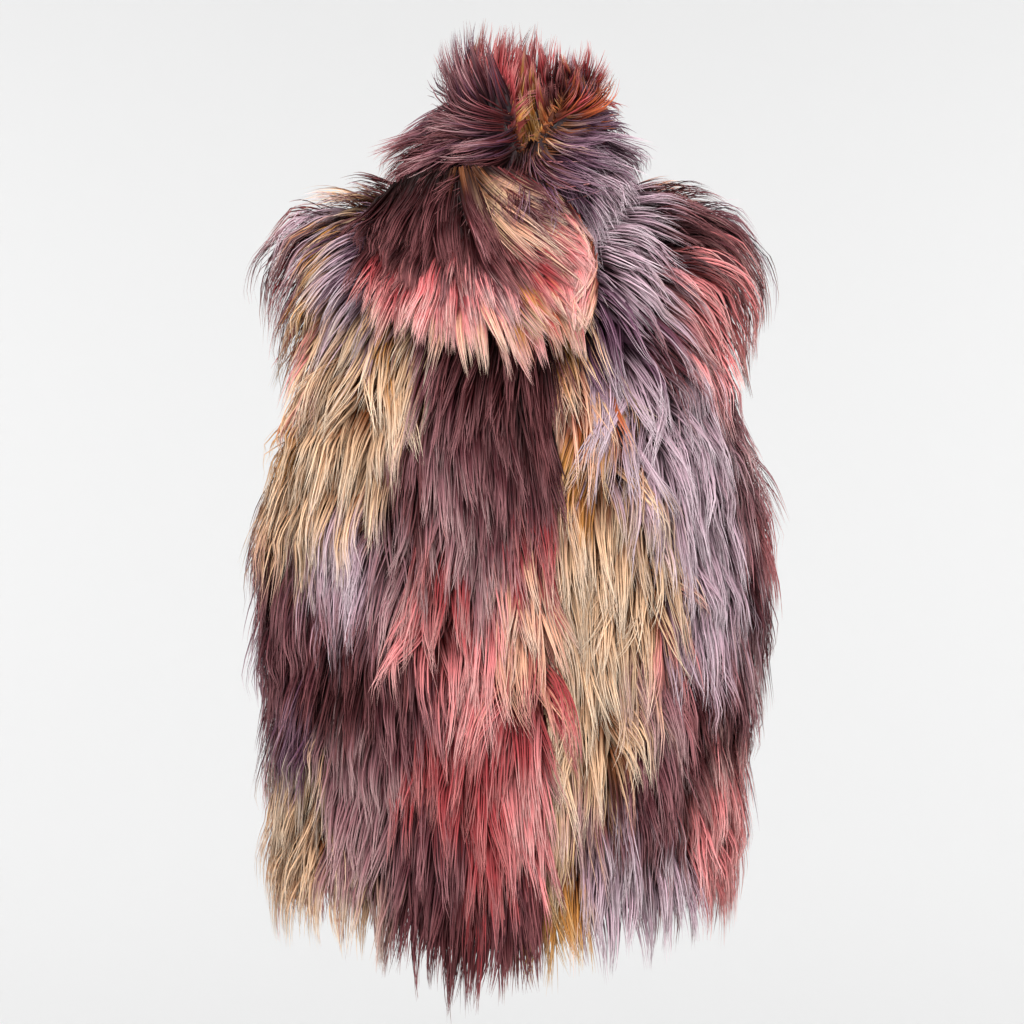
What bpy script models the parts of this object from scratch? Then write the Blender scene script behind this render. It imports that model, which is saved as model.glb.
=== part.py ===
"""A long-pile faux fur vest, filled out as if worn, with a standing collar that wraps across the throat.

Metres, +Z up. The front faces -Y, and +X is the wearer's left. The origin is midway between the two neck
points, level with them, where the shoulders carry the vest. Each piece of the cut is one closed wall: its
inner face is the backing cloth on a general figure, and its outer face is where the combed pile ends.
"""

import math
from collections import namedtuple

import bmesh
import bpy
import numpy as np

COLLECTION = "faux_fur_vest"

# The cut, in metres
SEAM_GAP = 0.0003
UNDERARM_HEIGHT = -0.235
CHEST_HEIGHT = -0.150
NECK_HALF_WIDTH = 0.078
NECK_FRONT_DEPTH = 0.081
NECK_BACK_DEPTH = 0.056
NECK_FRONT_PITCH = 0.42
NECK_FRONT_CURVE = 0.20
NECK_BACK_PITCH = 0.10
NECK_BACK_CURVE = 0.30
SHOULDER_HALF_WIDTH = 0.183
SHOULDER_DROP = 0.042
SHOULDER_SET_BACK = 0.012
TOP_HALF_WIDTH = 0.190
HEM_FRONT_HEIGHT = -0.608
HEM_SIDE_HEIGHT = -0.578
HEM_BACK_HEIGHT = -0.600
HEM_CORNER_DIP = 0.028
HEM_CORNER_AT = -0.026
HEM_CORNER_WIDTH = 0.055
HEM_SWING = -0.009
ARMHOLE_FORWARD = math.radians(27)
ARMHOLE_CURVE_HEIGHT = 0.105

# How the fronts lap: the wearer's right lies over the wearer's left. The lines run down the front at these
# distances from the middle: where the upper wall lifts, its edge last, and where the lower one is pressed thin
LAP_LINES = (-0.033, -0.018, 0.003, 0.025)
UNDERLAP_LINES = (-0.015, 0.005, 0.0285, 0.045)
LAP_CLEARANCE = 0.0013
UNDERLAP_LOFT = 0.006

# The pile: how far it stands off the backing, and how far its tips reach past each edge
PILE_LOFT = 0.031
NECKLINE_LOFT = 0.0077
PRESSED_LOFT = 0.012
LOFT_RISE_WIDTH = 0.050
HEM_REACH = 0.056
HEM_LOCK_DEPTH = 0.018
SHOULDER_REACH_OUT = 0.038
SHOULDER_REACH_DOWN = 0.056
ARMHOLE_REACH_OUT = 0.012
TUFT_RELIEF = 0.011
TUFT_LENGTH = 0.092
TUFT_WIDTH = 0.062

# The collar
COLLAR_SEAT = 0.0080
COLLAR_TOP_BACK_HEIGHT = 0.090
COLLAR_TOP_FRONT_HEIGHT = 0.070
COLLAR_TOP_HALF_WIDTH = 0.055
COLLAR_TOP_HALF_DEPTH = 0.055
COLLAR_TOP_SHIFT = (0.007, -0.006)
COLLAR_LOFT = 0.026
COLLAR_TOP_LOFT = 0.011
COLLAR_INNER_LOFT = 0.014
COLLAR_FOOT_LOFT = 0.003
COLLAR_FOOT_LIFT = 0.005
COLLAR_REACH_UP = 0.030
COLLAR_LOCK_HEIGHT = 0.014
COLLAR_SLIT_START = 0.50
COLLAR_SLIT_GAP = math.radians(0.7)
COLLAR_LEFT_OPENS = math.radians(44)
COLLAR_RIGHT_OPENS = math.radians(20)

# The tab at the collar's foot that wraps over the throat and closes on the wearer's left
TAB_START = -0.112
TAB_END = 0.066
TAB_LOFT = 0.023
TAB_EDGE_LOFT = 0.012
TAB_CLEARANCE = 0.0015
TAB_REACH_DOWN = 0.030
TAB_REACH_SIDE = 0.010
TAB_DRAPE_RADIUS = 0.020

# How finely the walls are divided
LOWER_ROWS = 25
UPPER_ROWS = 12
SHOULDER_STEPS = 9
FRONT_NECK_STEPS = 8
BACK_NECK_STEPS = 15
COLLAR_ROWS = 9
TAB_STEPS = 12
TAB_ROWS = 8

Section = namedtuple("Section", "height half_width front_depth back_depth")
BODY_SECTIONS = (
    Section(-0.660, 0.170, 0.108, 0.097),
    Section(-0.560, 0.176, 0.111, 0.100),
    Section(-0.450, 0.185, 0.114, 0.104),
    Section(-0.330, 0.198, 0.117, 0.107),
    Section(-0.235, 0.191, 0.119, 0.110),
    Section(-0.150, 0.182, 0.115, 0.108),
)

Edge = namedtuple("Edge", "across bottom top")
TAB_OUTLINE = (
    Edge(-0.112, -0.062, -0.036),
    Edge(-0.100, -0.082, -0.024),
    Edge(-0.060, -0.102, -0.016),
    Edge(-0.030, -0.108, -0.014),
    Edge(0.000, -0.112, -0.019),
    Edge(0.030, -0.114, -0.032),
    Edge(0.055, -0.108, -0.058),
    Edge(0.066, -0.096, -0.078),
)

Dye = namedtuple("Dye", "name colour")
BACK_DYE = Dye("plum_pile", (0.19, 0.10, 0.12, 1))
RIGHT_DYE = Dye("wine_pile", (0.27, 0.12, 0.13, 1))
LEFT_DYE = Dye("lavender_pile", (0.40, 0.29, 0.36, 1))
COLLAR_DYE = Dye("mauve_pile", (0.24, 0.13, 0.18, 1))
LINING_DYE = Dye("rust_pile", (0.42, 0.17, 0.08, 1))
TAB_DYE = Dye("rose_pile", (0.55, 0.22, 0.22, 1))


def eased(value):
    """0 to 1 with soft ends."""
    part = np.clip(value, 0, 1)
    return part * part * (3 - 2 * part)


def smooth_through(stations, values, at):
    """The value at a station, on a smooth curve through them all."""
    stations = np.array(stations, float)
    values = np.array(values, float)
    slopes = np.gradient(values, stations)
    at = np.clip(at, stations[0], stations[-1])
    i = np.clip(np.searchsorted(stations, at, side="right") - 1, 0, len(stations) - 2)
    gap = stations[i + 1] - stations[i]
    t = (at - stations[i]) / gap
    return (
        (2 * t**3 - 3 * t**2 + 1) * values[i]
        + (t**3 - 2 * t**2 + t) * gap * slopes[i]
        + (3 * t**2 - 2 * t**3) * values[i + 1]
        + (t**3 - t**2) * gap * slopes[i + 1]
    )


def unit(vectors):
    return vectors / np.maximum(np.linalg.norm(vectors, axis=-1, keepdims=True), 1e-12)


def stacked(x, y, z):
    return np.stack(np.broadcast_arrays(x, y, z), axis=-1)


def bell(distance, width):
    return np.exp(-((distance / width) ** 2))


def hem_height(angle):
    """Where the backing ends, lower at the front and lowest beside the closing edge."""
    fore = np.cos(angle)
    ends = np.where(fore > 0, HEM_FRONT_HEIGHT, HEM_BACK_HEIGHT)
    height = HEM_SIDE_HEIGHT + (ends - HEM_SIDE_HEIGHT) * fore**2
    across = TOP_HALF_WIDTH * np.sin(angle)
    return height - HEM_CORNER_DIP * bell(across - HEM_CORNER_AT, HEM_CORNER_WIDTH) * (fore > 0)


def body_ring(angle, height):
    """A point of the figure below the chest. The angle is 0 at the centre front and grows to +X."""
    stations = [s.height for s in BODY_SECTIONS]
    half_width = smooth_through(stations, [s.half_width for s in BODY_SECTIONS], height)
    front = smooth_through(stations, [s.front_depth for s in BODY_SECTIONS], height)
    back = smooth_through(stations, [s.back_depth for s in BODY_SECTIONS], height)
    fore = np.cos(angle)
    depth = np.where(fore > 0, -front, back) * np.abs(fore) ** 0.85
    swing = HEM_SWING * eased((-0.22 - height) / 0.40)
    return stacked(half_width * np.sin(angle) + swing, depth, height)


def neckline(turn):
    """The neck seam. The turn is 0 at the centre front and grows to +X."""
    fore = np.cos(turn)
    depth = np.where(fore > 0, -NECK_FRONT_DEPTH, -NECK_BACK_DEPTH) * fore
    pitch = np.where(fore > 0, NECK_FRONT_PITCH, NECK_BACK_PITCH)
    curve = np.where(fore > 0, NECK_FRONT_CURVE, NECK_BACK_CURVE)
    height = -(pitch + curve * np.abs(fore)) * np.abs(depth)
    return stacked(NECK_HALF_WIDTH * np.sin(turn), depth, height)


def neck_normal(turn):
    """Which way the body's wall faces along the neck seam."""
    fore = np.cos(turn)
    depth = np.where(fore > 0, -0.80, -0.45) * fore
    return unit(stacked(0.36 * np.sin(turn), depth, 0.85))


def top_line(angle):
    """The neck seam and the shoulder seam as one line, and the way the cloth runs into it."""
    fore = np.cos(angle)
    across = TOP_HALF_WIDTH * np.sin(angle)
    reach = np.abs(across) / NECK_HALF_WIDTH
    side = np.arcsin(np.clip(reach, 0, 1)) * np.sign(across)
    turn = np.where(fore > 0, side, math.pi - side)
    neck = neckline(turn)
    along = (np.abs(across) - NECK_HALF_WIDTH) / (SHOULDER_HALF_WIDTH - NECK_HALF_WIDTH)
    neck_point_height = neckline(np.array(math.pi / 2))[2]
    slope = np.clip(along, 0, 2)
    height = neck_point_height - SHOULDER_DROP * slope**1.1
    shoulder = stacked(across, SHOULDER_SET_BACK * slope, height)
    on_shoulder = (reach >= 1)[..., None]
    points = np.where(on_shoulder, shoulder, neck)
    inward = np.where(fore > 0, 1.0, -1.0)
    on_ridge = np.where(fore > 0, NECK_FRONT_PITCH, NECK_BACK_PITCH) * (1 - 0.5 * eased(along))
    rise = on_ridge + np.abs(np.cos(turn)) * np.where(fore > 0, 0.60, 1.0)
    return points, unit(stacked(0.0, inward, rise))


def skin(angle, rise):
    """The backing on the figure. The rise is 0 at the hem, 0.5 at the chest and 1 at the neck and shoulders."""
    angle, rise = np.broadcast_arrays(np.asarray(angle, float), np.asarray(rise, float))
    low = np.clip(rise * 2, 0, 1)
    hem = hem_height(angle)
    below = body_ring(angle, hem + (CHEST_HEIGHT - hem) * low)
    chest = body_ring(angle, np.full(angle.shape, CHEST_HEIGHT))
    top, running = top_line(angle)
    lift = (top[..., 2] - chest[..., 2])[..., None]
    depth = np.abs(top[..., 1] - chest[..., 1])[..., None]
    first = chest + np.array([0.0, 0.0, 1.0]) * 0.55 * lift
    last = top - running * (0.55 * depth + 0.12 * lift * running[..., 2:])
    t = np.clip(rise * 2 - 1, 0, 1)[..., None]
    above = (1 - t) ** 3 * chest + 3 * (1 - t) ** 2 * t * first + 3 * (1 - t) * t**2 * last + t**3 * top
    return np.where((rise > 0.5)[..., None], above, below)


def skin_normal(angle, rise):
    step, climb = math.radians(0.6), 0.006
    angle, rise = np.broadcast_arrays(np.asarray(angle, float), np.asarray(rise, float))
    around = skin(angle + step, rise) - skin(angle - step, rise)
    up = skin(angle, np.clip(rise + climb, 0, 1)) - skin(angle, np.clip(rise - climb, 0, 1))
    return unit(np.cross(around, up))


def armhole_angle(height, rise):
    """How far round the front or back the cloth reaches at that height: the side seam, then the armhole."""
    above = np.clip((height - UNDERARM_HEIGHT) / ARMHOLE_CURVE_HEIGHT, 0, 1)
    cut = math.pi / 2 - ARMHOLE_FORWARD * above**0.38
    tip = math.asin(SHOULDER_HALF_WIDTH / TOP_HALF_WIDTH)
    return cut + (tip - cut) * eased(rise * 2 - 1)


def row_rises():
    low = np.linspace(0, 0.5, LOWER_ROWS + 1)
    return np.concatenate([low, np.linspace(0.5, 1, UPPER_ROWS + 1)[1:]])


def even_shares(start, end, rise, count):
    """Shares of the way from one angle to another that cut that row into even lengths."""
    shares = np.linspace(0, 1, 81)
    points = skin(start + (end - start) * shares, rise)
    lengths = np.concatenate([[0], np.cumsum(np.linalg.norm(np.diff(points, axis=0), axis=1))])
    return np.interp(np.linspace(0, lengths[-1], count), lengths, shares)


def panel_angles(starts, ends, top_angles):
    """A row of angles for each rise: even on the body, and set out to the seams at the top."""
    count = len(top_angles)
    top_shares = (top_angles - top_angles[0]) / (top_angles[-1] - top_angles[0])
    rows = []
    for rise, start, end in zip(row_rises(), starts, ends):
        even = even_shares(start, end, rise, count)
        share = even + (top_shares - even) * eased(rise * 2.2 - 1.2)
        rows.append(start + (end - start) * share)
    return np.array(rows)


def side_limits(side):
    """For each row, the angle where the wearer's side of a panel ends. The side is +1 or -1."""
    found = []
    for rise in row_rises():
        seam = skin(side * math.pi / 2, rise)
        found.append(side * armhole_angle(seam[2], rise))
    return np.array(found)


def angles_at(across, rises):
    """The angles of a straight vertical line down the front, at that distance from the middle."""
    found = []
    for rise in rises:
        chest_half_width = skin(math.pi / 2, min(rise, 0.5))[0]
        half_width = chest_half_width if rise <= 0.5 else TOP_HALF_WIDTH
        found.append(math.asin(across / half_width))
    return np.array(found)


def tuft_relief(points, seed):
    """Overlapping locks in rows: each swells towards its tip and drops back to the next one's root."""
    around = np.arctan2(points[..., 0], -points[..., 1]) * 0.155
    down = -points[..., 2] / TUFT_LENGTH + seed * 0.37
    down = down + 0.22 * np.sin(around / 0.031 + seed)
    row = np.floor(down)
    across = around / TUFT_WIDTH + 0.5 * (row % 2) + 0.21 * np.sin(row * 2.3 + seed)
    middle = 1 - np.abs(2 * (across - np.floor(across)) - 1) ** 1.6
    return TUFT_RELIEF * ((down - row) * (0.25 + 0.75 * middle) - 0.35)


def from_neckline(points):
    """How far each point is from the neck seam."""
    seam = neckline(np.linspace(-math.pi, math.pi, 541))
    gaps = np.linalg.norm(points[..., None, :] - seam, axis=-1)
    return gaps.min(axis=-1)


def tab_edges(across):
    """The tab's lower and upper edge at that distance from the middle."""
    stations = [e.across for e in TAB_OUTLINE]
    bottom = smooth_through(stations, [e.bottom for e in TAB_OUTLINE], across)
    return bottom, smooth_through(stations, [e.top for e in TAB_OUTLINE], across)


def under_tab(points):
    """1 where the tab presses the pile flat, 0 clear of it."""
    across, height = points[..., 0], points[..., 2]
    bottom, top = tab_edges(np.clip(across, TAB_START, TAB_END))
    ends = eased((across - TAB_START + 0.004) / 0.012) * eased((TAB_END + 0.006 - across) / 0.012)
    heights = eased((height - bottom + 0.010) / 0.014) * eased((top + 0.05 - height) / 0.02)
    return ends * heights * (points[..., 1] < 0)


def pile_loft(points, side_share):
    """How far the pile stands off a body panel: flatter at the neck, the armholes and under the tab."""
    full = PILE_LOFT * (1 - 0.25 * side_share)
    distance = from_neckline(points)
    combed_low = NECKLINE_LOFT - 0.0020 * (1 - bell(distance, 0.003))
    loft = combed_low + (full - combed_low) * eased((distance - 0.003) / LOFT_RISE_WIDTH)
    return loft + (np.minimum(loft, PRESSED_LOFT) - loft) * under_tab(points)


def armhole_reach(points, edge_share):
    """How the pile hangs past the armhole, most at the shoulder's tip."""
    high = eased((points[..., 2] + 0.150) / 0.110)
    above = eased((points[..., 2] - UNDERARM_HEIGHT) / 0.030)
    out = (ARMHOLE_REACH_OUT + (SHOULDER_REACH_OUT - ARMHOLE_REACH_OUT) * high) * above
    down = SHOULDER_REACH_DOWN * high * above
    sign = np.sign(points[..., 0])
    return stacked(sign * out, 0.0, -down) * edge_share[..., None]


def lock_points(count, depth):
    """How much longer or shorter each lock of a ragged edge is than the general line."""
    i = np.arange(count)
    return depth * (0.62 * np.sin(i * 2.36 + 0.9 * np.sin(i * 0.61)) + 0.38 * np.sin(i * 1.07 + 0.4))


def body_panel(angles, seam_sides, seed, inner_lift=None, loft_limit=None):
    """The inner and outer points of a panel of the body. seam_sides says which ends meet an armhole."""
    rises = row_rises()[:, None]
    inner = skin(angles, rises)
    facing = skin_normal(angles, rises)
    side = np.cos(angles) ** 2 < 1e-4
    facing[side] = unit(facing[side] * np.array([1, 0, 1]))
    across = TOP_HALF_WIDTH * np.sin(angles[-1])
    turn_side = np.arcsin(np.clip(across / NECK_HALF_WIDTH, -1, 1))
    facing[-1] = neck_normal(np.where(np.cos(angles[-1]) > 0, turn_side, math.pi - turn_side))

    count = angles.shape[1]
    columns = np.arange(count)
    edge = np.zeros(angles.shape)
    for end in seam_sides:
        steps = np.abs(columns - end)
        edge = np.maximum(edge, np.array([1.0, 0.55, 0.20, 0.05])[np.minimum(steps, 3)] * (steps < 4))
    loft = pile_loft(inner, edge)
    calm = 1 - eased((NECKLINE_LOFT + 0.010 - loft) / 0.010)
    rim = np.ones(angles.shape)
    rim[[0, -1]] = 0
    rim[:, [0, -1]] = 0
    loft = loft + tuft_relief(inner, seed) * calm * rim
    lift = np.zeros(angles.shape) if inner_lift is None else inner_lift(inner, loft)
    if loft_limit is not None:
        loft = loft_limit(inner, loft)

    outer = inner + facing * loft[..., None]
    outer += armhole_reach(inner, edge)
    hang = np.zeros(angles.shape)
    hang[0] = HEM_REACH + lock_points(count, HEM_LOCK_DEPTH)
    hang[1] = 0.5 * HEM_REACH
    hang[2] = 0.2 * HEM_REACH
    outer[..., 2] -= hang
    return inner + facing * lift[..., None], outer


def underlap_loft(loft):
    return np.minimum(UNDERLAP_LOFT, 0.44 * loft)


def right_neck_turns():
    return np.linspace(-math.pi / 2, math.asin(LAP_LINES[0] / NECK_HALF_WIDTH), FRONT_NECK_STEPS)


def left_neck_turns():
    return np.linspace(math.asin(UNDERLAP_LINES[-1] / NECK_HALF_WIDTH), math.pi / 2, FRONT_NECK_STEPS)


def back_neck_turns():
    return np.linspace(math.pi / 2, 3 * math.pi / 2, BACK_NECK_STEPS)


def right_front():
    rises = row_rises()
    shoulder = np.linspace(-SHOULDER_HALF_WIDTH, -NECK_HALF_WIDTH, SHOULDER_STEPS + 1)[:-1]
    top = np.concatenate([shoulder, NECK_HALF_WIDTH * np.sin(right_neck_turns())])
    starts = side_limits(-1)
    starts[starts <= -math.pi / 2 + 1e-6] += SEAM_GAP / 2 / TOP_HALF_WIDTH
    angles = panel_angles(starts, angles_at(LAP_LINES[0], rises), np.arcsin(top / TOP_HALF_WIDTH))
    angles = np.column_stack([angles] + [angles_at(x, rises) for x in LAP_LINES[1:]])
    lapped = np.zeros(angles.shape)
    lapped[:, -3:] = 1.0

    def over_the_underlap(points, loft):
        return (underlap_loft(loft) + LAP_CLEARANCE) * lapped

    inner, outer = body_panel(angles, [0], 1, inner_lift=over_the_underlap)
    inner[-1, :, 1] -= SEAM_GAP / 2
    outer[-1, :, 1] -= SEAM_GAP / 2
    return inner, outer


def left_front():
    rises = row_rises()
    shoulder = np.linspace(NECK_HALF_WIDTH, SHOULDER_HALF_WIDTH, SHOULDER_STEPS + 1)[1:]
    top = np.concatenate([NECK_HALF_WIDTH * np.sin(left_neck_turns()), shoulder])
    ends = side_limits(1)
    ends[ends >= math.pi / 2 - 1e-6] -= SEAM_GAP / 2 / TOP_HALF_WIDTH
    angles = panel_angles(angles_at(UNDERLAP_LINES[-1], rises), ends, np.arcsin(top / TOP_HALF_WIDTH))
    angles = np.column_stack([angles_at(x, rises) for x in UNDERLAP_LINES[:-1]] + [angles])
    pressed = np.zeros(angles.shape, bool)
    pressed[:, :3] = True

    def press(points, loft):
        return np.where(pressed, underlap_loft(loft), loft)

    inner, outer = body_panel(angles, [angles.shape[1] - 1], 2, loft_limit=press)
    inner[-1, :, 1] -= SEAM_GAP / 2
    outer[-1, :, 1] -= SEAM_GAP / 2
    return inner, outer


def back():
    shoulder = np.linspace(SHOULDER_HALF_WIDTH, NECK_HALF_WIDTH, SHOULDER_STEPS + 1)[:-1]
    neck = NECK_HALF_WIDTH * np.sin(back_neck_turns())
    top = np.concatenate([shoulder, neck, -shoulder[::-1]])
    gap = SEAM_GAP / 2 / TOP_HALF_WIDTH
    starts = math.pi - side_limits(1)
    starts[starts <= math.pi / 2 + 1e-6] += gap
    ends = math.pi + side_limits(1)
    ends[ends >= 3 * math.pi / 2 - 1e-6] -= gap
    angles = panel_angles(starts, ends, math.pi - np.arcsin(top / TOP_HALF_WIDTH))
    inner, outer = body_panel(angles, [0, angles.shape[1] - 1], 3)
    inner[-1, :, 1] += SEAM_GAP / 2
    outer[-1, :, 1] += SEAM_GAP / 2
    return inner, outer


def collar_turns():
    """Where the neck seam's straight lengths meet, with one more in each, as turns past the front slit."""
    left = np.concatenate([[COLLAR_SLIT_GAP, math.asin(LAP_LINES[-1] / NECK_HALF_WIDTH)], left_neck_turns()])
    across_front = np.arcsin(np.array(LAP_LINES[1:2]) / NECK_HALF_WIDTH)
    right = np.concatenate([right_neck_turns(), across_front, [-COLLAR_SLIT_GAP]]) + 2 * math.pi
    corners = np.concatenate([left[:-1], back_neck_turns(), right[1:]])
    middles = (corners[1:] + corners[:-1]) / 2
    return corners, np.sort(np.concatenate([corners, middles]))


def seated(turns, corners):
    """The collar's foot, on the straight lengths of the neck seam."""
    seat = neckline(corners) + neck_normal(corners) * COLLAR_SEAT
    return np.stack([np.interp(turns, corners, seat[:, axis]) for axis in range(3)], axis=-1)


def collar_grid():
    """The collar's own cloth between its two furs: a ring open at the front, wider at its foot."""
    heights = np.linspace(0, 1, COLLAR_ROWS + 1)[:, None]
    opened = eased((heights - COLLAR_SLIT_START) / (1 - COLLAR_SLIT_START)) ** 0.8
    corners, turns = collar_turns()
    starts = COLLAR_SLIT_GAP + (COLLAR_LEFT_OPENS - COLLAR_SLIT_GAP) * opened
    ends = 2 * math.pi - COLLAR_SLIT_GAP - (COLLAR_RIGHT_OPENS - COLLAR_SLIT_GAP) * opened
    shares = (turns - turns[0]) / (turns[-1] - turns[0])
    turn = starts + (ends - starts) * shares[None, :]
    smooth = neckline(turn) + neck_normal(turn) * COLLAR_SEAT
    low = 1 - eased(heights / 0.30)[..., None]
    foot = smooth + (seated(turns, corners)[None] - smooth) * low
    shift_x, shift_y = COLLAR_TOP_SHIFT
    rise = (COLLAR_TOP_BACK_HEIGHT - COLLAR_TOP_FRONT_HEIGHT) * eased(0.5 - np.cos(turn))
    head = stacked(
        shift_x + COLLAR_TOP_HALF_WIDTH * np.sin(turn),
        shift_y - COLLAR_TOP_HALF_DEPTH * np.cos(turn),
        COLLAR_TOP_FRONT_HEIGHT + rise,
    )
    share = heights[..., None]
    bowed = share + 0.10 * np.sin(math.pi * share)
    cloth = foot + (head - foot) * np.concatenate([bowed, bowed, share], axis=-1)
    facing = unit(stacked(np.sin(turn), -np.cos(turn), 0.12 * (1 - heights)))
    return cloth, facing, heights, turn


def collar_outer():
    cloth, facing, heights, turn = collar_grid()
    ends = np.minimum(np.arange(turn.shape[1]), np.arange(turn.shape[1])[::-1])
    end_share = 0.45 + 0.55 * eased(ends / 3)[None, :]
    loft = COLLAR_FOOT_LOFT + (COLLAR_LOFT - COLLAR_FOOT_LOFT) * eased(heights / 0.16) * end_share
    loft += (COLLAR_TOP_LOFT - loft) * eased((heights - 0.78) / 0.22)
    ruffle = 0.6 * tuft_relief(cloth, 5) * eased(heights / 0.3)
    ruffle[:, [0, -1]] = 0
    outer = cloth + facing * (loft + ruffle)[..., None]
    outer[0, :, 2] += COLLAR_FOOT_LIFT
    outer[-1, :, 2] += COLLAR_REACH_UP + lock_points(turn.shape[1], COLLAR_LOCK_HEIGHT)
    outer[-2, :, 2] += 0.40 * COLLAR_REACH_UP
    return cloth + facing * SEAM_GAP / 2, outer


def collar_inner():
    cloth, facing, heights, turn = collar_grid()
    loft = COLLAR_INNER_LOFT * (0.45 + 0.55 * eased(heights / 0.3)) * (1 - 0.35 * (heights > 0.99))
    inner = cloth - facing * loft[..., None]
    inner[0, :, 2] += COLLAR_FOOT_LIFT
    inner[-1, :, 2] += 0.6 * COLLAR_REACH_UP + 0.5 * lock_points(turn.shape[1], COLLAR_LOCK_HEIGHT)
    return inner, cloth - facing * SEAM_GAP / 2


def finer(grid):
    """The same grid of points with three more between each two, both ways."""
    for axis in (0, 1):
        old = np.arange(grid.shape[axis])
        new = np.linspace(0, old[-1], 4 * old[-1] + 1)
        low = np.minimum(new.astype(int), old[-1] - 1)
        share = np.expand_dims(new - low, tuple(i for i in range(3) if i != axis))
        grid = np.take(grid, low, axis) * (1 - share) + np.take(grid, low + 1, axis) * share
    return grid


def draped_over(layers, across, height):
    """The depth of a cloth laid from the front over these layers."""
    points = np.concatenate([finer(layer).reshape(-1, 3) for layer in layers])
    points = points[(points[:, 1] < 0) & (points[:, 2] > -0.20)]
    apart = (across[..., None] - points[:, 0]) ** 2 + (height[..., None] - points[:, 2]) ** 2
    return (points[:, 1] + apart / (2 * TAB_DRAPE_RADIUS)).min(axis=-1) - TAB_CLEARANCE


def neck_tab(layers):
    """The tab, laid over the fronts and the collar's foot, with its pile hanging past its lower edge."""
    along = 1 - (1 - np.linspace(0, 1, TAB_STEPS + 1)) ** 1.35
    across = (TAB_START + (TAB_END - TAB_START) * along)[None, :]
    share = np.linspace(0, 1, TAB_ROWS + 1)[:, None]
    bottom, top = tab_edges(across)
    across, height = np.broadcast_arrays(across, bottom + (top - bottom) * share)
    inner = stacked(across, draped_over(layers, across, height), height)
    edge = np.minimum(np.minimum(share, 1 - share) * 3, 1) * np.minimum((1 - along[None, :]) * 5, 1)
    loft = TAB_EDGE_LOFT + (TAB_LOFT - TAB_EDGE_LOFT) * eased(edge)
    low = 1 - eased(share / 0.35)
    reach = TAB_REACH_DOWN + lock_points(across.shape[1], 0.008)[None, :]
    outer = inner.copy()
    outer[..., 0] += TAB_REACH_SIDE * eased(along * 3 - 2)
    outer[..., 2] -= reach * low
    outer[..., 1] = np.minimum(inner[..., 1], draped_over(layers, outer[..., 0], outer[..., 2])) - loft
    return inner, outer


def pile_material(dye):
    material = bpy.data.materials.new(dye.name)
    material.use_nodes = True
    shader = material.node_tree.nodes["Principled BSDF"]
    shader.inputs["Base Color"].default_value = dye.colour
    shader.inputs["Roughness"].default_value = 0.6
    shader.inputs["Metallic"].default_value = 0.0
    material.diffuse_color = dye.colour
    return material


def wall(name, inner, outer, dye, collection):
    """One closed wall between two grids of points, with a rim round its edges."""
    rows, columns = inner.shape[:2]
    numbers = np.arange(rows * columns).reshape(rows, columns)
    a, b, c, d = (g.ravel() for g in (numbers[:-1, :-1], numbers[:-1, 1:], numbers[1:, 1:], numbers[1:, :-1]))
    cells = np.concatenate([np.stack([a, b, c], axis=1), np.stack([a, c, d], axis=1)])
    far = rows * columns
    near = np.concatenate([numbers[0, :-1], numbers[:-1, -1], numbers[-1, :0:-1], numbers[:0:-1, 0]])
    after = np.roll(near, -1)
    points = np.concatenate([inner.reshape(-1, 3), outer.reshape(-1, 3)])
    one_way = np.linalg.norm(points[after] - points[near + far], axis=1)
    other_way = np.linalg.norm(points[near] - points[after + far], axis=1)
    shorter = one_way < other_way
    low_rim = np.stack([after, near, np.where(shorter, near + far, after + far)], axis=1)
    high_rim = np.stack([np.where(shorter, after, near), near + far, after + far], axis=1)
    faces = np.concatenate([cells[:, ::-1], cells + far, low_rim, high_rim])
    mesh = bpy.data.meshes.new(name)
    mesh.from_pydata(points.tolist(), [], faces.tolist())
    shaped = bmesh.new()
    shaped.from_mesh(mesh)
    bmesh.ops.recalc_face_normals(shaped, faces=shaped.faces)
    shaped.to_mesh(mesh)
    shaped.free()
    mesh.shade_smooth()
    mesh.materials.append(pile_material(dye))
    made = bpy.data.objects.new(name, mesh)
    collection.objects.link(made)
    return made


def main():
    for old in list(bpy.data.objects):
        bpy.data.objects.remove(old)
    collection = bpy.data.collections.new(COLLECTION)
    bpy.context.scene.collection.children.link(collection)
    back_points = back()
    right_points = right_front()
    left_points = left_front()
    outer_collar_points = collar_outer()
    inner_collar_points = collar_inner()
    tab_points = neck_tab([right_points[1], left_points[1], outer_collar_points[1]])
    wall("back", *back_points, BACK_DYE, collection)
    wall("front_right", *right_points, RIGHT_DYE, collection)
    wall("front_left", *left_points, LEFT_DYE, collection)
    wall("collar_outer", *outer_collar_points, COLLAR_DYE, collection)
    wall("collar_inner", *inner_collar_points, LINING_DYE, collection)
    wall("neck_tab", *tab_points, TAB_DYE, collection)


main()
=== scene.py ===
"""A long-pile faux fur vest: backing cloth under combed, blotch-dyed pile, on the model's frame.

Metres, +Z up. The front faces -Y, and +X is the wearer's left. Each cut piece is laid out as a
grid on the figure, from the same sizes as its solid, and its pile grows on that grid inside the
solid's wall.
"""

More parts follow.
